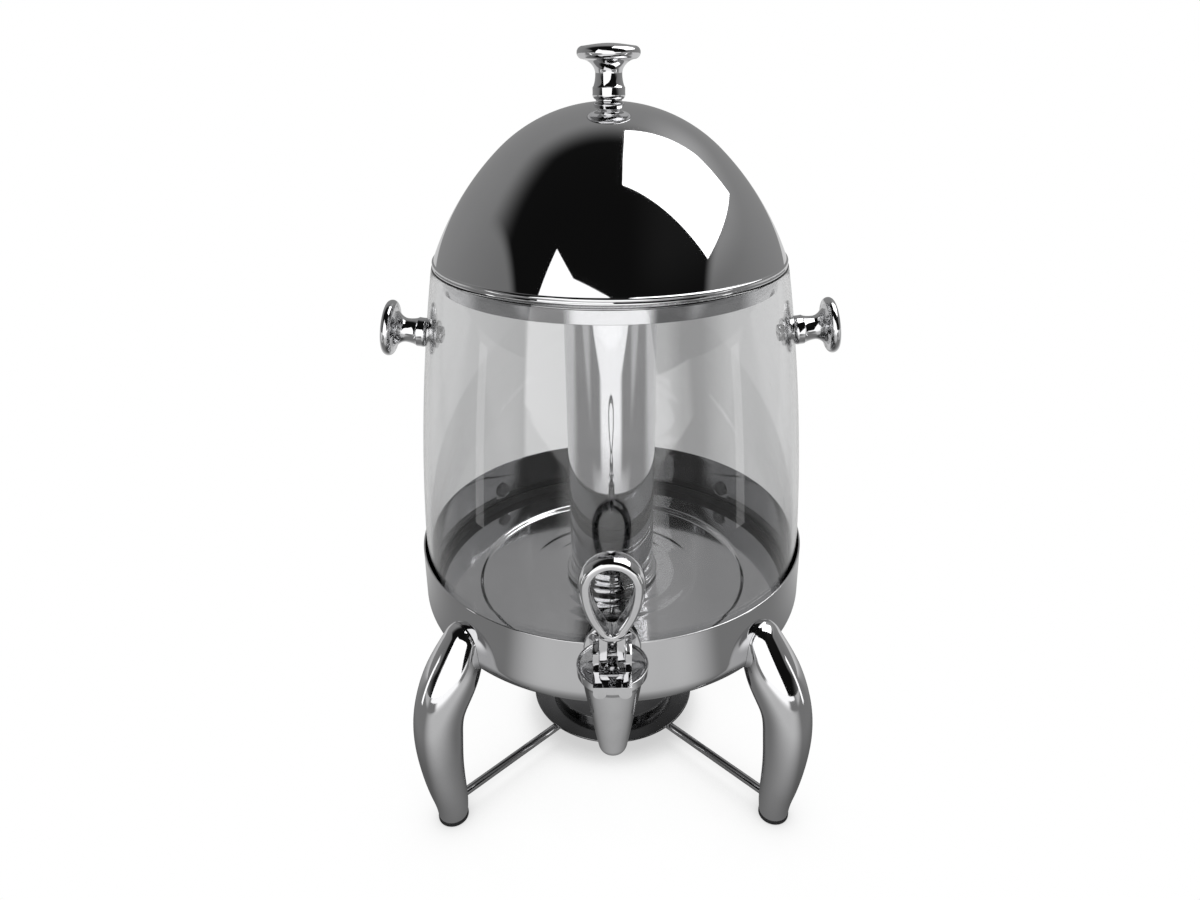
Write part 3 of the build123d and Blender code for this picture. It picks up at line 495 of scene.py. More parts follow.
def feed(tree, socket, value):
    """Sets an input, or links it where the value is another node's output."""
    if isinstance(value, bpy.types.NodeSocket):
        tree.links.new(value, socket)
    else:
        socket.default_value = value


def add(tree, kind, **values):
    """Adds a node; a value is a setting of the node, or feeds an input where the name starts with in_."""
    made = tree.nodes.new(kind)
    for name, value in values.items():
        if name.startswith("in_"):
            feed(tree, made.inputs[name.removeprefix("in_").replace("_", " ")], value)
        else:
            setattr(made, name, value)
    return made


def scaled(tree, value, low_in, high_in, low_out=0.0, high_out=1.0, step="LINEAR"):
    """Value moved from one range to another; each end may be a number or a socket."""
    made = add(tree, "ShaderNodeMapRange", interpolation_type=step, in_Value=value, in_From_Min=low_in,
               in_From_Max=high_in, in_To_Min=low_out, in_To_Max=high_out)
    return made.outputs["Result"]


def eased(tree, value, low_in, high_in, low_out=0.0, high_out=1.0):
    """Smooth step of a value from one range to another."""
    return scaled(tree, value, low_in, high_in, low_out, high_out, "SMOOTHSTEP")


def combined(tree, operation, first, second=0.0):
    """Math node on two values, each a number or a socket."""
    made = add(tree, "ShaderNodeMath", operation=operation)
    feed(tree, made.inputs[0], first)
    feed(tree, made.inputs[1], second)
    return made.outputs["Value"]


def length(tree, vector):
    """Length of a vector."""
    made = add(tree, "ShaderNodeVectorMath", operation="LENGTH")
    feed(tree, made.inputs[0], vector)
    return made.outputs["Value"]


def mixed(tree, kind, factor, first, second):
    """Mix of two colours or values."""
    made = add(tree, "ShaderNodeMix", data_type=kind, in_Factor=factor, in_A=first, in_B=second)
    return made.outputs["Result"]


def ramp(tree, value, stops):
    """Grey ramp through stops of place and level."""
    made = add(tree, "ShaderNodeValToRGB", in_Fac=value)
    marks = made.color_ramp.elements
    while len(marks) < len(stops):
        marks.new(0.5)
    for mark, (place, level) in zip(marks, stops):
        mark.position = place
        mark.color = (level, level, level, 1)
    return made.outputs["Color"]


def noise(tree, vector, scale, detail):
    """Noise texture's value at a vector; the scale may be a number or a socket."""
    made = add(tree, "ShaderNodeTexNoise", in_Vector=vector, in_Scale=scale, in_Detail=detail)
    return made.outputs["Fac"]


def object_place(tree):
    """Place on the object, in its own frame."""
    return add(tree, "ShaderNodeTexCoord").outputs["Object"]


def bumped(tree, shader, height, strength, depth):
    """Bumps a shader's surface by a height, on top of any bump that it has."""
    bump = add(tree, "ShaderNodeBump", in_Strength=strength, in_Distance=depth, in_Height=height)
    normal = shader.inputs["Normal"]
    if normal.links:
        feed(tree, bump.inputs["Normal"], normal.links[0].from_socket)
    feed(tree, normal, bump.outputs["Normal"])


def mixed_surface(tree, factor, first, second):
    """Makes the surface a mix of two shaders: the first where the factor is 0, the second where it is 1."""
    made = add(tree, "ShaderNodeMixShader", in_Fac=factor)
    feed(tree, made.inputs[1], first)
    feed(tree, made.inputs[2], second)
    feed(tree, tree.nodes["Material Output"].inputs["Surface"], made.outputs["Shader"])


def handling_group():
    """Effect of hands and cloths on a polished surface: smudges that dull it, and a faint waviness."""
    group = bpy.data.node_groups.new("handling", "ShaderNodeTree")
    sockets = (
        ("INPUT", "Float", "Clean Roughness", "Smudge Roughness", "Smudge Scale", "Wave Scale"),
        ("INPUT", "Color", "Bright", "Dull"),
        ("OUTPUT", "Color", "Color"),
        ("OUTPUT", "Float", "Roughness", "Height"),
    )
    for way, kind, *names in sockets:
        for name in names:
            group.interface.new_socket(name=name, in_out=way, socket_type="NodeSocket" + kind)
    inputs = add(group, "NodeGroupInput").outputs
    place = object_place(group)
    cloud = noise(group, place, inputs["Smudge Scale"], SMUDGE_DETAIL)
    stretched = add(group, "ShaderNodeMapping", in_Vector=place, in_Scale=STREAK_STRETCH).outputs["Vector"]
    streak = noise(group, stretched, inputs["Smudge Scale"], STREAK_DETAIL)
    streaks = scaled(group, streak, *STREAK_LEVELS, STREAK_LEAST, 1.0)
    smudge = combined(group, "MULTIPLY", scaled(group, cloud, *SMUDGE_LEVELS), streaks)
    rough = scaled(group, smudge, 0.0, 1.0, inputs["Clean Roughness"], inputs["Smudge Roughness"])
    color = mixed(group, "RGBA", smudge, inputs["Bright"], inputs["Dull"])
    wave = noise(group, place, inputs["Wave Scale"], WAVE_DETAIL)
    add(group, "NodeGroupOutput", in_Color=color, in_Roughness=rough, in_Height=wave)
    return group


def new_finish(name):
    """Material with an empty Principled shader; returns the material, its node tree and the shader."""
    finish = bpy.data.materials.new(name)
    finish.use_nodes = True
    tree = finish.node_tree
    return finish, tree, tree.nodes["Principled BSDF"]


def handled(tree, shader, bright, dull, clean, smudged, smudge_scale, wave_scale, wave):
    """Gives a shader the colour, roughness and waviness of a handled surface."""
    marks = add(tree, "ShaderNodeGroup", node_tree=HANDLING, in_Bright=bright, in_Dull=dull,
                in_Clean_Roughness=clean, in_Smudge_Roughness=smudged, in_Smudge_Scale=smudge_scale,
                in_Wave_Scale=wave_scale)
    feed(tree, shader.inputs["Base Color"], marks.outputs["Color"])
    feed(tree, shader.inputs["Roughness"], marks.outputs["Roughness"])
    bumped(tree, shader, marks.outputs["Height"], wave, WAVE_DEPTH)


def polished_metal(name, bright, dull, clean, smudged, smudge_scale, wave_scale, wave):
    """Mirror-bright metal with smudges and a faint waviness."""
    finish, tree, shader = new_finish(name)
    shader.inputs["Metallic"].default_value = 1.0
    levels = [(level, level, level * STEEL_BLUE, 1) for level in (bright, dull)]
    handled(tree, shader, *levels, clean, smudged, smudge_scale, wave_scale, wave)
    return finish


def with_rings(finish):
    """Adds the marks of spinning to a polished finish: fine grooves about the Z axis."""
    tree = finish.node_tree
    flat = add(tree, "ShaderNodeVectorMath", operation="MULTIPLY")
    feed(tree, flat.inputs[0], object_place(tree))
    feed(tree, flat.inputs[1], (1, 1, 0))
    radius = length(tree, flat.outputs["Vector"])
    groove = add(tree, "ShaderNodeTexNoise", noise_dimensions="1D", in_W=radius, in_Scale=RING_SCALE,
                 in_Detail=RING_DETAIL)
    bumped(tree, tree.nodes["Principled BSDF"], groove.outputs["Fac"], RING_STRENGTH, RING_DEPTH)
    return finish


def clear_plastic(name):
    """Clear polycarbonate with a grey cast, wiped but not spotless."""
    finish, tree, shader = new_finish(name)
    shader.inputs["Transmission Weight"].default_value = 1.0
    shader.inputs["IOR"].default_value = PLASTIC_IOR
    handled(tree, shader, PLASTIC_BRIGHT, PLASTIC_DULL, clean=0.0, smudged=0.035, smudge_scale=9.0,
            wave_scale=12.0, wave=0.02)
    return finish


def black_rubber(name):
    """Matt black silicone rubber with a fine moulded grain."""
    finish, tree, shader = new_finish(name)
    place = object_place(tree)
    patch = noise(tree, place, PATCH_SCALE, RUBBER_DETAIL)
    feed(tree, shader.inputs["Base Color"], mixed(tree, "RGBA", patch, RUBBER_DARK, RUBBER_PALE))
    feed(tree, shader.inputs["Roughness"], scaled(tree, patch, *RUBBER_LEVELS, *RUBBER_ROUGHNESS))
    bumped(tree, shader, noise(tree, place, GRAIN_SCALE, RUBBER_DETAIL), GRAIN_STRENGTH, GRAIN_DEPTH)
    return finish


# Metals by name, bright and dull level, clean and smudged roughness, smudge and wave scale, wave strength
HANDLING = handling_group()
MIRROR_STEEL = polished_metal("mirror_steel", 0.70, 0.66, 0.025, 0.07, 11.0, 22.0, 0.012)
SPUN_STEEL = with_rings(polished_metal("spun_steel", 0.80, 0.72, 0.08, 0.13, 16.0, 60.0, 0.008))
# Darker steel: its darker base colour paints the shade under the pan onto the brace's disc and hoop, and
# onto the screws inside the pan
SHADE_DARKENED_STEEL = polished_metal("shade_darkened_steel", 0.24, 0.17, 0.12, 0.26, 30.0, 60.0, 0.02)
KNOB_CHROME = polished_metal("knob_chrome", 0.72, 0.67, 0.03, 0.08, 60.0, 90.0, 0.006)
LEG_CHROME = polished_metal("leg_chrome", 0.72, 0.66, 0.05, 0.12, 26.0, 45.0, 0.03)
ROD_CHROME = polished_metal("rod_chrome", 0.60, 0.50, 0.06, 0.14, 40.0, 50.0, 0.004)
TAP_CHROME = polished_metal("tap_chrome", 0.72, 0.66, 0.035, 0.10, 70.0, 120.0, 0.006)
FASTENER_STEEL = polished_metal("fastener_steel", 0.52, 0.40, 0.18, 0.35, 220.0, 400.0, 0.05)
CLEAR_PLASTIC = clear_plastic("clear_polycarbonate")
RUBBER = black_rubber("black_rubber")


# Base pan, vessel floor and gasket

def base_pan():
    """Pan p(s, a): a turned profile whose wall height at each angle stops at the edge of the tap's notch,
    z_top(x) = tap height - sqrt(notch^2 - x^2) where |x| is inside the notch, and the rim elsewhere."""
    notch = COLLAR_RADIUS + NOTCH_GAP
    front = np.arcsin(np.clip(notch / PAN_RIM_RADIUS, -1, 1))
    side = front * NOTCH_SIDE
    inside = np.sin(np.linspace(-1, 1, NOTCH_STEPS) * math.pi / 2) * front
    outside = np.linspace(front, math.tau - front, ROUND_LARGE + 1)[1:-1]
    around = np.concatenate((inside, [side], outside, [math.tau - side]))
    across = np.sin(around) * PAN_RIM_RADIUS
    facing = np.cos(around) > 0
    dip = TAP_HEIGHT - np.sqrt(np.clip(notch ** 2 - across ** 2, 0, None))
    rim = np.where(facing & (np.abs(across) <= notch), dip, PAN_RIM)
    profile = np.concatenate((wall_line(0.0), wall_line(PAN_SHEET)[::-1]))
    r, z = profile[:, :1], profile[:, 1:]
    knee = PAN_BOTTOM + PAN_CORNER
    share = np.clip((z - knee) / (PAN_RIM - knee), 0, 1)
    z = np.where(z > knee, knee + share * (rim - knee), z + 0 * around)
    return np.stack((r * np.sin(around), -r * np.cos(around), z), -1)


def wall_line(inset):
    """Pan's profile from the middle of the bottom to the rim, moved in by inset: flat, corner arc, drafted
    wall and a rounded edge."""
    radius = PAN_FOOT_RADIUS - inset
    corner = PAN_CORNER - inset
    floor = PAN_BOTTOM + inset
    bend = radius - corner
    half = math.sqrt(0.5) * corner
    knuckle = (bend + half, floor + corner - half)
    turn = arc((bend, floor), knuckle, (radius, floor + corner), PAN_CORNER_STEPS)
    edge = PAN_EDGE if inset == 0 else -PAN_EDGE
    rim = PAN_RIM_RADIUS - inset
    straight = np.linspace((radius, floor + corner), (rim, PAN_RIM - PAN_EDGE), PAN_WALL_STEPS)
    t = np.linspace(0, math.pi / 2, EDGE_STEPS)[1:]
    lip = np.column_stack((rim - edge * (1 - np.cos(t)), PAN_RIM - PAN_EDGE * (1 - np.sin(t))))
    flat = np.linspace((0, floor), (bend, floor), PAN_FLAT_STEPS)[:-1]
    return np.concatenate((flat, turn, straight[1:], lip))


def vessel_floor():
    """Profile of the spun floor: a low middle with two pressed ridges, a soft step, the gasket's ledge."""
    foot = FLOOR_STEP_RADIUS - FLOOR_STEP_RUN
    ridge = ((-RIDGE_HALF, 0), (0, RIDGE_RISE), (RIDGE_HALF, 0))
    ridges = [(radius + out, FLOOR_LOW + up, RIDGE_SOFT) for radius in RIDGE_RADII for out, up in ridge]
    return rounded(
        (FLOOR_HOLE, FLOOR_LOW, 0),
        *ridges,
        (foot, FLOOR_LOW, FLOOR_SOFT),
        (FLOOR_STEP_RADIUS, FLOOR_TOP, FLOOR_SOFT),
        (FLOOR_EDGE_RADIUS, FLOOR_TOP, PAN_EDGE),
        (FLOOR_EDGE_RADIUS, FLOOR_TOP - FLOOR_SHEET, PAN_EDGE),
        (FLOOR_STEP_RADIUS, FLOOR_TOP - FLOOR_SHEET, FLOOR_SOFT),
        (foot, FLOOR_LOW - FLOOR_SHEET, FLOOR_SOFT),
        (FLOOR_HOLE, FLOOR_LOW - FLOOR_SHEET, 0),
    )


def gasket():
    """Profile of the barrel's rubber gasket: a flat base with a lip inside the barrel's wall."""
    lip = high("barrel_gasket")[0] - BARREL_WALL - GASKET_GAP
    return rounded(
        (lip - GASKET_LIP, FLOOR_TOP, GASKET_EDGE),
        (BARREL_RADIUS, FLOOR_TOP, GASKET_EDGE),
        (BARREL_RADIUS, BARREL_FOOT, GASKET_EDGE),
        (lip, BARREL_FOOT, 0),
        (lip, GASKET_TOP, GASKET_EDGE),
        (lip - GASKET_LIP, GASKET_TOP, GASKET_EDGE),
    )


piece("pan_shell", grid_mesh("pan_shell", base_pan(), False), MIRROR_STEEL, "base_pan")
turned_piece("floor_dish", vessel_floor(), SPUN_STEEL, "vessel_floor")
turned_piece("gasket_ring", gasket(), RUBBER, "barrel_gasket")
copied_piece("support_hoop", FASTENER_STEEL, "floor_support_ring")


# Clear barrel

def barrel_side(inset, count):
    """Barrel's wall line moved in by inset: straight foot, then an arc up to the mouth."""
    radius = BARREL_RADIUS - inset
    bend = BARREL_FOOT + BARREL_STRAIGHT
    belly = (radius - BARREL_BELLY_TAPER, (bend + BARREL_TOP) / 2)
    taper = arc((radius, bend), belly, (radius - BARREL_TAPER, BARREL_TOP), count)
    straight = np.linspace((radius, BARREL_FOOT), (radius, bend), BARREL_FOOT_STEPS)
    return np.concatenate((straight, taper[1:]))


def barrel_mesh():
    """Barrel turned from its two wall lines with rounded ends, drilled for the tap and the knobs."""
    outer = barrel_side(0.0, BARREL_STEPS)
    inner = barrel_side(BARREL_WALL, BARREL_STEPS)[::-1]
    mouth_middle = (outer[-1, 0] + inner[0, 0]) / 2
    foot_middle = (outer[0, 0] + inner[-1, 0]) / 2
    for line, top, foot in ((outer, -1, 0), (inner, 0, -1)):
        line[top, 1] -= BARREL_EDGE
        line[foot, 1] += BARREL_EDGE
    t = np.linspace(0, math.pi, BARREL_EDGE_STEPS)[1:-1]
    across = BARREL_WALL / 2 * np.cos(t)
    drop = BARREL_EDGE * (1 - np.sin(t))
    mouth = np.column_stack((mouth_middle + across, BARREL_TOP - drop))
    foot = np.column_stack((foot_middle - across, BARREL_FOOT + drop))
    mesh = grid_mesh("barrel_wall", turned(np.concatenate((outer, mouth, inner, foot))))
    reach = 4 * BARREL_WALL
    tap_side = (0, -BARREL_RADIUS - reach / 2, TAP_HEIGHT)
    mesh = cut(mesh, drill(SHANK_RADIUS + TAP_HOLE_GAP, reach, tap_side, (0, 1, 0)))
    for side in (-1, 1):
        spot, way = side_knob_place(side)
        mesh = cut(mesh, drill(KNOB_HOLE + KNOB_HOLE_GAP, reach, spot - way * reach / 2, way))
    return close_up(mesh)


def drill(radius, length, start, way):
    """Closed round bar from start along way."""
    profile = np.array(((0, 0), (radius, 0), (radius, length), (0, length)))
    return grid_mesh("drill", set_on(turned(profile, ROUND_DRILL), start, way, (0, 0, 1)), False)


def side_knob_place(side):
    """Point on the barrel's outside where a carrying knob sits, and the wall's outward direction there."""
    line = barrel_side(0.0, BARREL_FINE_STEPS)
    at = np.searchsorted(line[:, 1], SIDE_KNOB_HEIGHT)
    run = line[at + 1] - line[at - 1]
    radius = np.interp(SIDE_KNOB_HEIGHT, line[:, 1], line[:, 0])
    way = np.array((side * run[1], 0, -run[0])) / np.hypot(*run)
    return np.array((side * radius, 0, SIDE_KNOB_HEIGHT)), way


piece("barrel_wall", barrel_mesh(), CLEAR_PLASTIC, "barrel")


# Knobs

def knob():
    """Profile of a turned knob from its screw hole: short foot, bead, waisted neck, round-edged cap."""
    cap_top = KNOB_CAP_START + KNOB_CAP_EDGE
    crown = KNOB_CAP_RADIUS - KNOB_CAP_EDGE / 2
    foot = (KNOB_FOOT_RADIUS, KNOB_BEAD_START)
    bead_side = (KNOB_BEAD_RADIUS, (KNOB_BEAD_START + KNOB_BEAD_END) / 2)
    bead_end = (KNOB_BEAD_RADIUS, KNOB_BEAD_END)
    neck = (KNOB_NECK_RADIUS, KNOB_NECK_HEIGHT)
    cap_foot = (crown, KNOB_CAP_START)
    cap_side = (KNOB_CAP_RADIUS, (KNOB_CAP_START + cap_top) / 2)
    hole_end = ((0, KNOB_HOLE_DEPTH), (KNOB_HOLE, KNOB_HOLE_DEPTH))
    hole = np.array((*hole_end, (KNOB_HOLE, 0), (KNOB_FOOT_RADIUS, 0)))
    bead = arc(foot, KNOB_BEAD_SIDE, bead_side, count=12)
    waist = soft_curve(bead_end, KNOB_BEAD_WAY, neck, KNOB_NECK_WAY, count=16)
    flare = soft_curve(neck, KNOB_NECK_WAY, cap_foot, KNOB_FLARE_WAY, count=20)
    rim = arc(cap_foot, cap_side, (crown, cap_top), count=24)
    top = soft_curve((crown, cap_top), KNOB_CROWN_WAY, (0, KNOB_LENGTH), KNOB_TOP_WAY, count=18)
    return np.concatenate((hole, bead, waist, flare[1:], rim[1:], top[1:]))


def knob_piece(name, node, place, way):
    """Turned knob that stands on a place."""
    turned_piece(name, knob(), KNOB_CHROME, node, ROUND_SMALL, place, way, loop=False)


knob_piece("knob_left", "side_knob_left", *side_knob_place(-1))
knob_piece("knob_right", "side_knob_right", *side_knob_place(1))
knob_piece("knob_top", "lid_knob", (0, 0, DOME_TOP), (0, 0, 1))
copied_piece("knob_screws", FASTENER_STEEL, "side_knob_screws")
copied_piece("knob_washers", FASTENER_STEEL, "side_knob_washers")
copied_piece("top_knob_screw", FASTENER_STEEL, "lid_knob_screw")
copied_piece("top_knob_washer", FASTENER_STEEL, "lid_knob_washer")


# Lid

def dome_side(inset, count):
    """Dome's line from the knob's hole to the foot, moved in by inset: crown arc, tangent shoulder arc."""
    radius = DOME_CROWN_RADIUS - inset
    centre = DOME_TOP - DOME_CROWN_RADIUS
    lean = math.asin(DOME_SHOULDER / DOME_CROWN_RADIUS)
    first = math.asin(DOME_HOLE / radius)
    t = np.linspace(first, lean, count)
    crown = np.column_stack((radius * np.sin(t), centre + radius * np.cos(t)))
    heading = (math.cos(lean), -math.sin(lean))
    shoulder = tangent_arc(crown[-1], heading, (LID_RADIUS - inset, DOME_FOOT), count)
    return np.concatenate((crown, shoulder[1:]))


def dome():
    """Dome's closed profile: outside line, rolled bead at the rim, inside line."""
    outer = dome_side(0.0, DOME_STEPS)
    inner = dome_side(DOME_SHEET, DOME_STEPS)[::-1]
    middle = np.array((LID_RADIUS - RIM_BEAD, DOME_FOOT + RIM_BEAD))
    outer = outer[np.linalg.norm(outer - middle, axis=1) > RIM_BEAD]
    inner = inner[np.linalg.norm(inner - middle, axis=1) > RIM_BEAD]
    start = math.atan2(*(outer[-1] - middle)[::-1])
    end = math.atan2(*(inner[0] - middle)[::-1]) - math.tau
    t = np.linspace(start, end, RIM_BEAD_STEPS)[1:-1]
    bead = middle + RIM_BEAD * np.column_stack((np.cos(t), np.sin(t)))
    return np.concatenate((outer, bead, inner))


def skirt():
    """Profile of the lid's skirt ring: a flange under the dome's rim, a small bead and a plain band."""
    inner = SKIRT_RADIUS - SKIRT_SHEET
    lid_foot = DOME_FOOT - SKIRT_FLANGE
    bead_top = lid_foot - SKIRT_BEAD_DROP
    corners = (
        (inner, SKIRT_FOOT),
        (SKIRT_RADIUS, SKIRT_FOOT),
        (SKIRT_RADIUS, bead_top - 2 * SKIRT_BEAD),
        (SKIRT_RADIUS + SKIRT_BEAD, bead_top - SKIRT_BEAD),
        (SKIRT_RADIUS, bead_top),
        (SKIRT_RADIUS, lid_foot),
        (LID_RADIUS, lid_foot),
        (LID_RADIUS, DOME_FOOT),
        (inner, DOME_FOOT),
    )
    return rounded(*[(r, z, SKIRT_EDGE) for r, z in corners])


turned_piece("dome_shell", dome(), MIRROR_STEEL, "lid_dome")
turned_piece("skirt_band", skirt(), MIRROR_STEEL, "lid_skirt_ring")


# Ice tube

def ice_tube():
    """Profile of the ice tube: base disc, tall thin wall with a rounded mouth."""
    inner = TUBE_RADIUS - TUBE_WALL
    foot_top = TUBE_FOOT + TUBE_FOOT_HEIGHT
    return rounded(
        (TUBE_HOLE, TUBE_FOOT, 0),
        (TUBE_FOOT_RADIUS, TUBE_FOOT, TUBE_EDGE),
        (TUBE_FOOT_RADIUS, foot_top, 2 * TUBE_EDGE),
        (TUBE_RADIUS, foot_top, TUBE_EDGE),
        (TUBE_RADIUS, TUBE_TOP, TUBE_EDGE),
        (inner, TUBE_TOP, TUBE_EDGE),
        (inner, TUBE_FOOT + TUBE_FLOOR, 3 * TUBE_EDGE),
        (TUBE_HOLE, TUBE_FOOT + TUBE_FLOOR, 0),
    )


turned_piece("tube_wall", ice_tube(), MIRROR_STEEL, "ice_tube")
copied_piece("tube_gasket", RUBBER, "ice_tube_gasket")
copied_piece("tube_bolt", FASTENER_STEEL, "ice_tube_bolt")
copied_piece("tube_nut", FASTENER_STEEL, "ice_tube_nut")


# Legs, feet and brace

def smooth_through(points, count):
    """Natural cubic spline through rows of points, by chord length; returns points and unit headings."""
    step = np.linalg.norm(np.diff(points[:, :2], axis=0), axis=1)
    knots = np.concatenate(([0.0], step.cumsum()))
    size = len(points)
    system = np.eye(size)
    right = np.zeros_like(points)
    inner = np.arange(1, size - 1)
    system[inner, inner - 1] = step[:-1]
    system[inner, inner] = 2 * (step[:-1] + step[1:])
    system[inner, inner + 1] = step[1:]
    slope = np.diff(points, axis=0) / step[:, None]
    right[1:-1] = 6 * np.diff(slope, axis=0)
    bend = np.linalg.solve(system, right)
    s = np.linspace(0, knots[-1], count)
    at = np.clip(np.searchsorted(knots, s, side="right") - 1, 0, size - 2)
    h = step[at][:, None]
    left, rest = (knots[at + 1] - s)[:, None], (s - knots[at])[:, None]
    low_bend, high_bend = bend[at], bend[at + 1]
    low_end, high_end = points[at], points[at + 1]
    place = (low_bend * left ** 3 + high_bend * rest ** 3) / (6 * h)
    place += (low_end / h - low_bend * h / 6) * left + (high_end / h - high_bend * h / 6) * rest
    heading = np.gradient(place[:, :2], s, axis=0)
    return place, heading / np.linalg.norm(heading, axis=1, keepdims=True)


def with_round_head(line, heading):
    """Leg's line lengthened by a ball that touches its first cone, of slope a: each point is
    c + h R (sin a - sin f), with half width R cos f, for f from a right angle down to a."""
    first, way = line[0], heading[0]
    slope = math.atan2(line[1, 2] - first[2], np.linalg.norm(line[1, :2] - first[:2]))
    ball = first[2] / math.cos(slope)
    f = np.linspace(math.pi / 2, slope, HEAD_STEPS, endpoint=False)[:, None]
    place = first[:2] + way * ball * (math.sin(slope) - np.sin(f))
    head = np.concatenate((place, ball * np.cos(f)), 1)
    ways = np.repeat(way[None], HEAD_STEPS, 0)
    return np.concatenate((head, line)), np.concatenate((ways, heading))


def leg(angle):
    """Leg p(t, b): circles across a spline, each line along the leg starting where it meets the pan."""
    line, heading = with_round_head(*smooth_through(LEG_CURVE, LEG_FINE_STEPS))
    around = np.arange(LEG_COLUMNS) * math.tau / LEG_COLUMNS
    side, face = np.cos(around), np.sin(around)
    r, z, half = line[:, 0:1], line[:, 1:2], line[:, 2:3]
    x = r - heading[:, 1:2] * half * face
    y = half * side + 0 * r
    height = z + heading[:, 0:1] * half * face
    skin = np.stack((x, y, height), -1)
    wall = pan_radius(skin[..., 2]) + LEG_SEAT_GAP
    outside = np.hypot(skin[..., 0], skin[..., 1]) - wall
    seated = (outside < 0).any(axis=0)
    last_in = np.where(seated, len(line) - 1 - np.argmax((outside < 0)[::-1], axis=0), 0)
    lead = np.take_along_axis(outside, last_in[None], 0)[0]
    follow = np.take_along_axis(outside, last_in[None] + 1, 0)[0]
    start = np.where(seated, last_in + lead / (lead - follow), 0.0)
    t = start + np.linspace(0, 1, LEG_ROWS)[:, None] * (len(line) - 1 - start)
    cell = np.clip(t.astype(int), 0, len(line) - 2)
    mix = (t - cell)[..., None]
    column = np.arange(LEG_COLUMNS)[None]
    grid = skin[cell, column] * (1 - mix) + skin[cell + 1, column] * mix
    seat, foot = (np.broadcast_to(row.mean(0), (1, LEG_COLUMNS, 3)) for row in (grid[0], grid[-1]))
    grid = np.concatenate((seat, grid, foot))
    turn = math.radians(angle)
    spin = np.array(((math.cos(turn), math.sin(turn), 0), (-math.sin(turn), math.cos(turn), 0), (0, 0, 1)))
    return grid @ spin


def pan_radius(height):
    """Pan's outside radius at a height: the drafted wall above, the corner arc below."""
    knee = PAN_BOTTOM + PAN_CORNER
    rise = np.clip((height - knee) / (PAN_RIM - knee), 0, 1)
    wall = PAN_FOOT_RADIUS - PAN_DRAFT * rise
    drop = np.clip(knee - height, 0, PAN_CORNER)
    corner = PAN_FOOT_RADIUS - PAN_CORNER + np.sqrt(PAN_CORNER ** 2 - drop ** 2)
    below = np.where(height < PAN_BOTTOM, 0.0, corner)
    return np.where(height >= knee, wall, below)


def foot():
    """Profile of a rubber foot with its plug."""
    size = high("foot_front_right") - low("foot_front_right")
    radius, tall = size[0] / 2, size[2]
    return rounded((0, 0, 0), (radius, 0, FOOT_EDGE), (radius, FOOT_PAD, FOOT_EDGE),
                   (FOOT_PLUG_RADIUS, FOOT_PAD, 0), (FOOT_PLUG_RADIUS, tall, FOOT_EDGE), (0, tall, 0))


def rod():
    """Profile of a brace rod along its own axis."""
    length = ROD_OUTER_END - ROD_INNER_END
    return rounded((0, 0, 0), (ROD_RADIUS, 0, ROD_EDGE), (ROD_RADIUS, length, ROD_EDGE), (0, length, 0))


for place, angle in LEG_ANGLES.items():
    name = f"curved_leg_{place}"
    piece(name, grid_mesh(name, leg(angle), False), LEG_CHROME, f"leg_{place}")
    node = f"foot_{place}"
    middle = (low(node) + high(node)) / 2
    middle[2] = 0
    turned_piece(f"rubber_{node}", foot(), RUBBER, node, ROUND_SMALL, middle, loop=False)
    way = np.array((math.cos(math.radians(angle)), math.sin(math.radians(angle)), 0))
    start = way * ROD_INNER_END + (0, 0, ROD_HEIGHT)
    node = f"brace_rod_{place}"
    turned_piece(f"round_rod_{place}", rod(), ROD_CHROME, node, ROUND_SMALL, start, way, loop=False)
# Screws inside the pan get the darker steel, whose base colour paints the shade in there
copied_piece("inner_screws", SHADE_DARKENED_STEEL, "leg_screws")


def plate():
    """Profile of the brace's round plate."""
    return rounded((0, PLATE_BOTTOM, 0), (PLATE_RADIUS, PLATE_BOTTOM, PLATE_EDGE / 2),
                   (PLATE_RADIUS, PLATE_TOP, PLATE_EDGE), (0, PLATE_TOP, 0))


def hoop():
    """Profile of the ring on the brace's plate."""
    edge = HOOP_SHEET / 3
    inner = HOOP_RADIUS - HOOP_SHEET
    return rounded((inner, PLATE_TOP, 0), (HOOP_RADIUS, PLATE_TOP, 0),
                   (HOOP_RADIUS, HOOP_TOP, edge), (inner, HOOP_TOP, edge))


# Brace disc and hoop get the darker steel, whose base colour paints the shade under the pan
turned_piece("brace_disc", plate(), SHADE_DARKENED_STEEL, "brace_plate", loop=False)
turned_piece("brace_hoop", hoop(), SHADE_DARKENED_STEEL, "brace_plate_ring")


# Tap

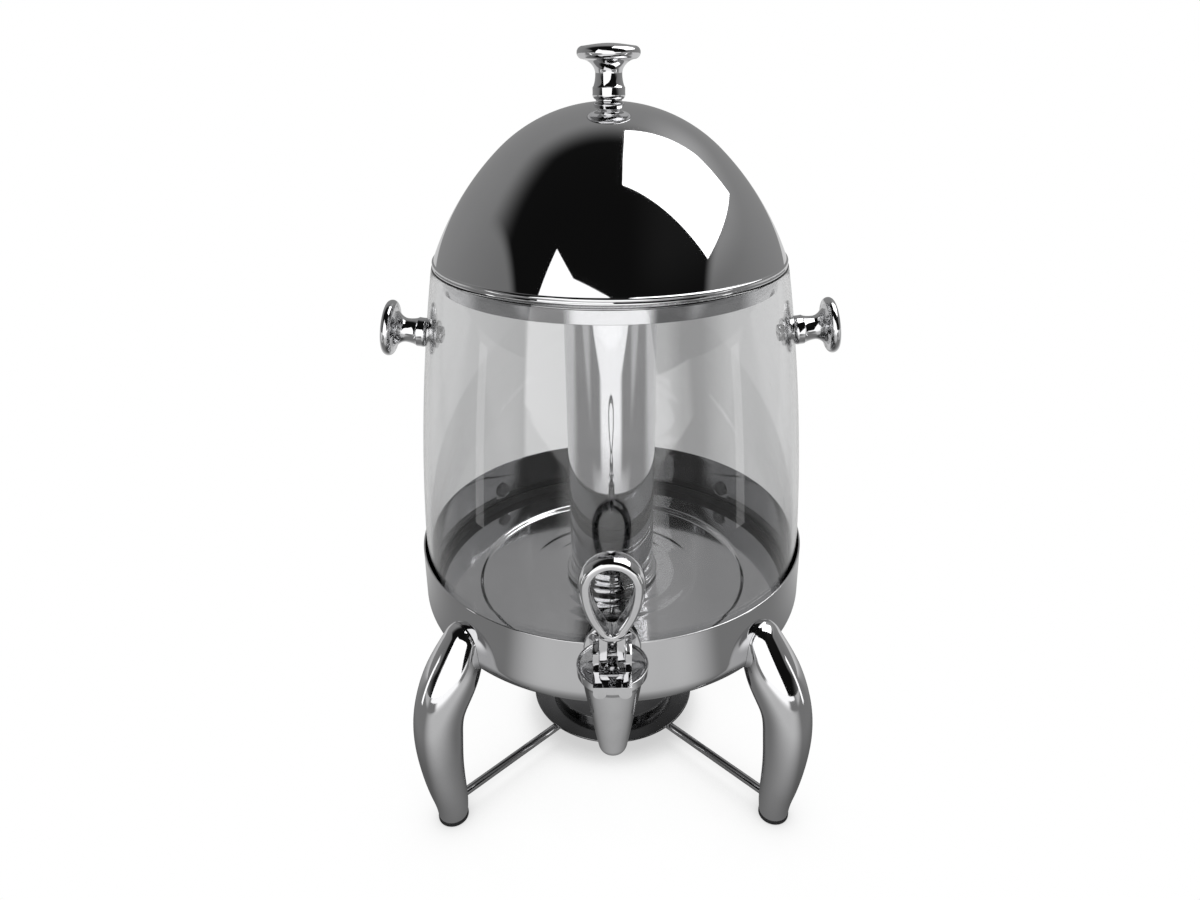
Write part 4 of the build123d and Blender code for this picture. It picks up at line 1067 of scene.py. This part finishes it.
def bell():
    """Profile of the tap's body: spout tip, tapered spout, bowl with its band, chamber and bore."""
    lip = BOWL_RADIUS - BOWL_LIP
    chamber_floor = BONNET_BOTTOM - CHAMBER_HEIGHT
    tip_foot = (SPOUT_TIP_RADIUS - SPOUT_TIP_ROUND, SPOUT_TIP)
    tip_side = (SPOUT_TIP_RADIUS, SPOUT_TIP + 2 * SPOUT_TIP_ROUND)
    tip = soft_curve(tip_foot, SPOUT_TIP_WAY, tip_side, SPOUT_SIDE_WAY, count=12)
    spout_top = (SPOUT_TOP_RADIUS, BOWL_TOP - SPOUT_TOP_DROP)
    band_foot = (BOWL_RADIUS, BOWL_TOP - BOWL_BAND)
    swell = soft_curve(spout_top, SPOUT_TOP_WAY, band_foot, BOWL_FOOT_WAY, count=18)
    t = np.linspace(0, math.pi / 2, EDGE_STEPS)
    in_cos, in_sin = BOWL_EDGE * (1 - np.cos(t)), BOWL_EDGE * (1 - np.sin(t))
    outer_edge = np.column_stack((BOWL_RADIUS - in_cos, BOWL_TOP - in_sin))
    inner_edge = np.column_stack((lip + in_sin, BOWL_TOP - in_cos))
    inside = np.array((
        (lip, BONNET_BOTTOM), (CHAMBER_RADIUS, BONNET_BOTTOM), (CHAMBER_RADIUS, chamber_floor),
        (SPOUT_BORE, chamber_floor), (SPOUT_BORE, SPOUT_TIP)))
    return np.concatenate((tip, swell, outer_edge, inner_edge, inside))


def shank():
    """Profile of the tap's neck and shank along their own axis, from the bell's axis into the barrel."""
    neck_end = COLLAR_FRONT - BOWL_MIDDLE
    end = SHANK_END - BOWL_MIDDLE
    return rounded((0, 0, 0), (NECK_RADIUS, 0, 0), (NECK_RADIUS, neck_end, 0), (SHANK_RADIUS, neck_end, 0),
                   (SHANK_RADIUS, end, SHANK_EDGE), (0, end, 0))


def bell_room():
    """Profile of the space in the bell that the neck must leave free, cut a little into the bell's wall."""
    ledge = BONNET_BOTTOM - ROOM_BITE
    top = BOWL_TOP + NECK_RADIUS
    chamber = CHAMBER_RADIUS + ROOM_BITE
    lip = BOWL_RADIUS - BOWL_LIP + ROOM_BITE
    floor = BONNET_BOTTOM - CHAMBER_HEIGHT - ROOM_BITE
    bore = SPOUT_BORE + ROOM_BITE
    return np.array(((0, SPOUT_TIP), (bore, SPOUT_TIP), (bore, floor), (chamber, floor), (chamber, ledge),
                     (lip, ledge), (lip, top), (0, top)))


def tap_body():
    """Bell and shank joined into one casting, with the juice's way drilled through."""
    axis = np.array((0, BOWL_MIDDLE, 0))
    base = (0, BOWL_MIDDLE, TAP_HEIGHT)
    body = grid_mesh("bell", turned(bell(), ROUND_SMALL) + axis)
    room = grid_mesh("room", turned(bell_room(), ROUND_SMALL) + axis, False)
    tail = grid_mesh("tail", set_on(turned(shank(), ROUND_SMALL), base, (0, 1, 0)), False)
    whole = cut(body, cut(tail, room), "UNION")
    way = drill(SHANK_BORE, SHANK_END - BOWL_MIDDLE + SHANK_BORE, base, (0, 1, 0))
    return close_up(cut(whole, way))


def collar():
    """Profile of the tap's collar along the shank's axis, rounded at the front."""
    thick = COLLAR_BACK - COLLAR_FRONT
    bore = SHANK_RADIUS + COLLAR_GAP
    return rounded((bore, 0, 0), (COLLAR_RADIUS, 0, COLLAR_EDGE), (COLLAR_RADIUS, thick, COLLAR_BACK_EDGE),
                   (bore, thick, 0))


def loop():
    """Lever's loop p(a, v): an egg of tangent arcs c(a) + r(a) (cos a, sin a), moved in by a superellipse
    section that is crowned on its outside and thins towards the foot."""
    big, tip = LOOP_WIDTH / 2, LOOP_TIP_RADIUS
    big_height = LOOP_TOP - big
    tip_height = LOOP_FOOT + tip
    rise = big_height - tip_height
    side = (big ** 2 + rise ** 2 - tip ** 2) / (2 * (big - tip))
    lean = math.atan2(rise, side - big)
    arcs = (
        (-lean, 0, big - side, big_height, side),
        (0, math.pi, 0, big_height, big),
        (math.pi, math.pi + lean, side - big, big_height, side),
        (math.pi + lean, math.tau - lean, 0, tip_height, tip),
    )
    rows = []
    for start, end, x, z, radius in arcs:
        count = math.ceil(radius * (end - start) / LOOP_STEP)
        angle = np.linspace(start, end, count, endpoint=False)
        across, up = np.cos(angle), np.sin(angle)
        rows.append(np.column_stack((x + radius * across, z + radius * up, across, up)))
    x, z, across, up = np.concatenate(rows).T[:, :, None]
    v = np.linspace(0, math.tau, LOOP_COLUMNS, endpoint=False)
    power = 2 / LOOP_SQUARENESS
    wide = np.sign(np.cos(v)) * np.abs(np.cos(v)) ** power
    deep = np.sign(np.sin(v)) * np.abs(np.sin(v)) ** power
    band = LOOP_BAND * (1 - LOOP_THINNING * np.clip(-up, 0, 1) ** 2)
    inset = band / 2 * (1 - wide) + LOOP_CROWN * deep ** 2 * (1 + wide) / 2
    return np.stack((x - across * inset, PIVOT_Y + LOOP_DEPTH / 2 * deep + 0 * x, z - up * inset), -1)


def lever_arms():
    """Packed lever below the loop, parted into two arms up to the loop."""
    work = opened(packed_mesh("tap_lever"))
    everything = work.verts[:] + work.edges[:] + work.faces[:]
    trimmed = bmesh.ops.bisect_plane(work, geom=everything, plane_co=(0, 0, ARM_TOP), plane_no=(0, 0, 1),
                                     clear_outer=True)
    rim = [part for part in trimmed["geom_cut"] if isinstance(part, bmesh.types.BMEdge)]
    bmesh.ops.contextual_create(work, geom=rim)
    mesh = bpy.data.meshes.new("arms")
    work.to_mesh(mesh)
    work.free()
    gap = block(ARM_GAP, 2 * LOOP_DEPTH, PIVOT_Y, PIVOT_HEIGHT, LOOP_FOOT + ARM_SLOT_RISE)
    return eased_edges(cut(mesh, gap), ARM_EDGE)


def block(width, depth, middle_y, bottom, top):
    """Closed box across the middle plane, as a cutting tool."""
    x, y = width / 2, depth / 2
    corners = [(a * x, middle_y + b * y, z) for z in (bottom, top) for a, b in SQUARE]
    sides = [(i, (i + 1) % 4, (i + 1) % 4 + 4, i + 4) for i in range(4)]
    return plain_mesh("block", corners, [(3, 2, 1, 0), (4, 5, 6, 7), *sides])


def eased_edges(mesh, width):
    """Shape with its flat faces joined up and its sharp edges rounded by a small bevel."""
    work = opened(mesh)
    bmesh.ops.dissolve_limit(work, angle_limit=FLAT_ANGLE, verts=work.verts, edges=work.edges)
    sharp = [edge for edge in work.edges if edge.is_manifold and edge.calc_face_angle() > SHARP_EDGE]
    bmesh.ops.bevel(work, geom=sharp, offset=width, segments=BEVEL_STEPS, profile=0.5, affect="EDGES",
                    clamp_overlap=True)
    bmesh.ops.recalc_face_normals(work, faces=work.faces)
    return smoothed(work, mesh)


def lever():
    """Lever's loop and arms as one casting."""
    return close_up(cut(grid_mesh("loop", loop()), lever_arms(), "UNION"))


piece("tap_casting", tap_body(), TAP_CHROME, "tap_body")
collar_place = (0, COLLAR_FRONT, TAP_HEIGHT)
turned_piece("tap_rosette", collar(), TAP_CHROME, "tap_collar", ROUND_SMALL, collar_place, (0, 1, 0))
piece("tap_fork", eased_edges(packed_mesh("tap_bonnet"), FORK_EDGE), TAP_CHROME, "tap_bonnet")
piece("tap_handle", lever(), TAP_CHROME, "tap_lever")
copied_piece("tap_pin", FASTENER_STEEL, "tap_lever_pin")
copied_piece("tap_rod", FASTENER_STEEL, "tap_stem")
copied_piece("tap_seal", RUBBER, "tap_valve_seal")
spring_piece("tap_coil", FASTENER_STEEL, "tap_spring")
copied_piece("tap_gasket_outer", RUBBER, "tap_washer_outer")
copied_piece("tap_gasket_inner", RUBBER, "tap_washer_inner")
copied_piece("tap_nut", FASTENER_STEEL, "tap_shank_nut")


# Studio

FLOOR_HALF = 6.0
# Painted contact shadow on the glowing floor: its glow where most occluded, the occlusion reach and
# occlusion levels
FLOOR_SHADED = 0.60
CONTACT_REACH = 0.12
CONTACT_LEVELS = (0.25, 0.92)
# Painted light and shade on the floor as reflections see it: a pool of light in front, dark aisles beside
# it, brighter wings further out, bands of light behind and a painted shade of the dispenser
REACH_LEAST = 0.05
POOL_RISE = (0.45, 0.85)
POOL_NEAR = 0.62
POOL_FAR = 1.35
EDGE_TURN = (0.42, 0.60)
EDGE_NEAR = 0.55
EDGE_MIDDLE = 0.36
EDGE_SPREAD = (1.12, 1.45)
EDGE_FAR = 0.90
BLUR_NEAR = 0.75
BLUR_FAR = 0.22
AISLE = 0.22
WING = 0.55
WING_RISE = (0.45, 0.70)
WING_START = (1.00, 1.50)
BEHIND = (-0.05, 0.35)
OWN_SHADE = (0.10, 0.32)
OWN_SHADE_LEVEL = 0.30
BEHIND_LIGHT_BANDS = (
    (0.0, 0.64),
    (0.29, 0.54),
    (0.30, 0.74),
    (0.42, 0.70),
    (0.63, 0.54),
    (0.67, 0.38),
    (0.72, 0.38),
    (0.79, 0.60),
    (1.0, 0.68),
)
BEHIND_LIGHT_SPREAD = 0.25
EYE_DISTANCE = 0.73
KEY_PLACE = (0.70, 0.17, 1.545)
KEY_TARGET = (0.0, 0.17, 0.70)
KEY_SIZE = (1.18, 1.30)
KEY_POWER = 14.0
KEY_BOUNCES = 5
PANEL_BOUNCES = 8
FRONT_WALL = -1.1
FRONT_OUTLINE = ((-1.0, 1.81), (-1.25, 0.1), (0.6, 0.1), (0.3, 0.75), (-0.05, 0.98), (-0.5, 1.2))
FRONT_STRENGTH = 1.5
STRIP_AZIMUTHS = {"left_strip": -72, "right_strip": 70}
STRIP_DISTANCE = 0.6
STRIP_HALF = 0.030
STRIP_FOOT = 0.01
STRIP_TOP = 0.30
STRIP_STRENGTH = 1.6
STRIP_BOUNCES = 1
ROOM_TURN = (-0.4, 0.8)
ROOM_LEVELS = (0.20, 0.28)
CEILING_SIDE = (0.15, 0.55)
CEILING_RISE = (0.35, 0.75)
CEILING_LEVEL = 0.24
DARK_LEAN = 0.7
DARK_START = (0.10, 0.52)
DARK_SIDE_RISE = (0.05, 0.40)
DARK_SIDE = (0.95, 0.80)
DARK_SIDE_BLUR = 0.06
DARK_LEVEL = 0.03
CAMERA_SENSOR = 36.0
CAMERA_LENS = 23.874
CAMERA_SHIFT = -0.01
CAMERA_NEAREST = 0.01
CAMERA_PLACE = (0.00051, -0.50176, 0.47466)
CAMERA_DOWN = math.radians(26.047)
CAMERA_ROLL = math.radians(-0.358)


def studio_floor():
    """Wide pale floor that glows: the camera sees it white with a painted contact shadow. Polished metal
    sees
    painted light on it: a pool of light in front, dark at the sides and in a painted shade of the dispenser,
    and bands of painted light behind."""
    corners = [(a * FLOOR_HALF, b * FLOOR_HALF, 0) for a, b in SQUARE]
    floor = in_scene("studio_floor", plain_mesh("studio_floor", corners, [(0, 1, 2, 3)]))
    finish, tree, shader = new_finish("pale_floor")
    # The camera sees the floor glow white, with a painted contact shadow where ambient occlusion dims the
    # glow
    contact_shade = add(tree, "ShaderNodeAmbientOcclusion", in_Distance=CONTACT_REACH).outputs["AO"]
    shader.inputs["Base Color"].default_value = (0, 0, 0, 1)
    shader.inputs["Roughness"].default_value = 1.0
    shader.inputs["Specular IOR Level"].default_value = 0.0
    shader.inputs["Emission Color"].default_value = (1, 1, 1, 1)
    feed(tree, shader.inputs["Emission Strength"], eased(tree, contact_shade, *CONTACT_LEVELS, FLOOR_SHADED, 1.0))
    place = object_place(tree)
    x, y, _ = add(tree, "ShaderNodeSeparateXYZ", in_Vector=place).outputs
    reach = combined(tree, "MAXIMUM", combined(tree, "MULTIPLY", y, -1.0), REACH_LEAST)
    aside = combined(tree, "DIVIDE", combined(tree, "ABSOLUTE", x), reach)
    edge = eased(tree, reach, *EDGE_TURN, EDGE_NEAR, EDGE_MIDDLE)
    edge = eased(tree, reach, *EDGE_SPREAD, edge, EDGE_FAR)
    blur = eased(tree, reach, *EDGE_TURN, BLUR_NEAR, BLUR_FAR)
    past = combined(tree, "DIVIDE", combined(tree, "SUBTRACT", aside, edge), blur)
    pool = eased(tree, reach, *POOL_RISE, POOL_NEAR, POOL_FAR)
    pool = eased(tree, past, 0.0, 1.0, pool, AISLE)
    wing = eased(tree, reach, *WING_RISE, AISLE, WING)
    pool = eased(tree, aside, *WING_START, pool, wing)
    away = combined(tree, "ADD", combined(tree, "MAXIMUM", y, 0.0), EYE_DISTANCE)
    slant = combined(tree, "DIVIDE", x, away)
    # Painted bands of light on the floor behind the dispenser
    light_bands = ramp(tree, scaled(tree, slant, -BEHIND_LIGHT_SPREAD, BEHIND_LIGHT_SPREAD), BEHIND_LIGHT_BANDS)
    lit = mixed(tree, "FLOAT", eased(tree, y, *BEHIND), pool, light_bands)
    shade = eased(tree, length(tree, place), *OWN_SHADE, OWN_SHADE_LEVEL, 1.0)
    # Reflections see the painted light pattern, darkened by a painted shade of the dispenser around the
    # middle
    mirrored = add(tree, "ShaderNodeEmission", in_Strength=combined(tree, "MULTIPLY", lit, shade))
    seen = add(tree, "ShaderNodeLightPath").outputs["Is Camera Ray"]
    mixed_surface(tree, seen, mirrored.outputs["Emission"], shader.outputs["BSDF"])
    floor.data.materials.append(finish)


def softbox(name, place, target, width, height, power):
    """Rectangular soft light at place, turned to target, with a face of its brightness for reflections."""
    data = bpy.data.lights.new(name, "AREA")
    data.shape = "RECTANGLE"
    data.size = width
    data.size_y = height
    data.energy = power
    light = in_scene(name, data)
    aim = Vector(target) - Vector(place)
    stand = Matrix.Translation(place) @ aim.to_track_quat("-Z", "Y").to_matrix().to_4x4()
    light.matrix_world = stand
    light.visible_glossy = False
    corners = [tuple(stand @ Vector((a * width / 2, b * height / 2, 0))) for a, b in SQUARE]
    panel(name + "_face", corners, power / (math.pi * width * height), KEY_BOUNCES)


def panel(name, corners, strength, bounces=PANEL_BOUNCES):
    """Bright flat panel that only shows in reflections, up to a number of bounces."""
    made = in_scene(name, plain_mesh(name, corners, [tuple(range(len(corners)))]))
    finish, tree, _ = new_finish(name)
    clear = add(tree, "ShaderNodeBsdfTransparent").outputs["BSDF"]
    glow = add(tree, "ShaderNodeEmission", in_Strength=strength).outputs["Emission"]
    depth = add(tree, "ShaderNodeLightPath").outputs["Ray Depth"]
    mixed_surface(tree, combined(tree, "LESS_THAN", depth, bounces + 0.5), clear, glow)
    made.data.materials.append(finish)
    made.visible_camera = False
    made.visible_shadow = False


def strip(name, azimuth):
    """Narrow upright panel beside the dispenser, for the bright lines on the barrel."""
    turn = math.radians(azimuth)
    middle = np.array((math.sin(turn), -math.cos(turn))) * STRIP_DISTANCE
    across = np.array((math.cos(turn), math.sin(turn))) * STRIP_HALF
    left, right = middle - across, middle + across
    corners = [(*left, STRIP_FOOT), (*right, STRIP_FOOT), (*right, STRIP_TOP), (*left, STRIP_TOP)]
    panel(name, corners, STRIP_STRENGTH, STRIP_BOUNCES)


def studio_surround():
    """Room light by direction: pale behind, grey at the sides, dark in front and above."""
    world = bpy.data.worlds.new("studio")
    bpy.context.scene.world = world
    world.use_nodes = True
    tree = world.node_tree
    facing = add(tree, "ShaderNodeTexCoord").outputs["Generated"]
    x, y, z = add(tree, "ShaderNodeSeparateXYZ", in_Vector=facing).outputs
    forward = combined(tree, "MULTIPLY", y, -DARK_LEAN)
    lean = combined(tree, "ADD", forward, combined(tree, "MULTIPLY", z, DARK_LEAN))
    edge = eased(tree, z, *DARK_SIDE_RISE, *DARK_SIDE)
    past = combined(tree, "SUBTRACT", combined(tree, "ABSOLUTE", x), edge)
    aside = eased(tree, past, 0.0, DARK_SIDE_BLUR, 1.0, 0.0)
    dark = combined(tree, "MULTIPLY", eased(tree, lean, *DARK_START), aside)
    overhead = eased(tree, z, *CEILING_RISE)
    ceiling = combined(tree, "MULTIPLY", eased(tree, x, *CEILING_SIDE, 0.0, CEILING_LEVEL), overhead)
    glow = combined(tree, "ADD", eased(tree, y, *ROOM_TURN, *ROOM_LEVELS), ceiling)
    glow = combined(tree, "MULTIPLY", glow, scaled(tree, dark, 0.0, 1.0, 1.0, DARK_LEVEL))
    seen = add(tree, "ShaderNodeLightPath").outputs["Is Camera Ray"]
    background = tree.nodes["Background"]
    background.inputs["Color"].default_value = (1, 1, 1, 1)
    feed(tree, background.inputs["Strength"], mixed(tree, "FLOAT", seen, glow, 1.0))


def camera():
    """Camera at the photograph's place and angle, from the ellipses of the rims."""
    data = bpy.data.cameras.new("camera")
    data.sensor_width = CAMERA_SENSOR
    data.lens = CAMERA_LENS
    data.shift_x = CAMERA_SHIFT
    data.clip_start = CAMERA_NEAREST
    eye = in_scene("camera", data)
    lean = Matrix.Rotation(math.pi / 2 - CAMERA_DOWN, 4, "X")
    eye.matrix_world = Matrix.Translation(CAMERA_PLACE) @ lean @ Matrix.Rotation(CAMERA_ROLL, 4, "Z")
    bpy.context.scene.camera = eye


studio_floor()
studio_surround()
softbox("key_softbox", KEY_PLACE, KEY_TARGET, *KEY_SIZE, KEY_POWER)
panel("front_panel", [(x, FRONT_WALL, z) for x, z in FRONT_OUTLINE], FRONT_STRENGTH)
for name, azimuth in STRIP_AZIMUTHS.items():
    strip(name, azimuth)
camera()
bpy.context.scene.view_settings.view_transform = "Standard"
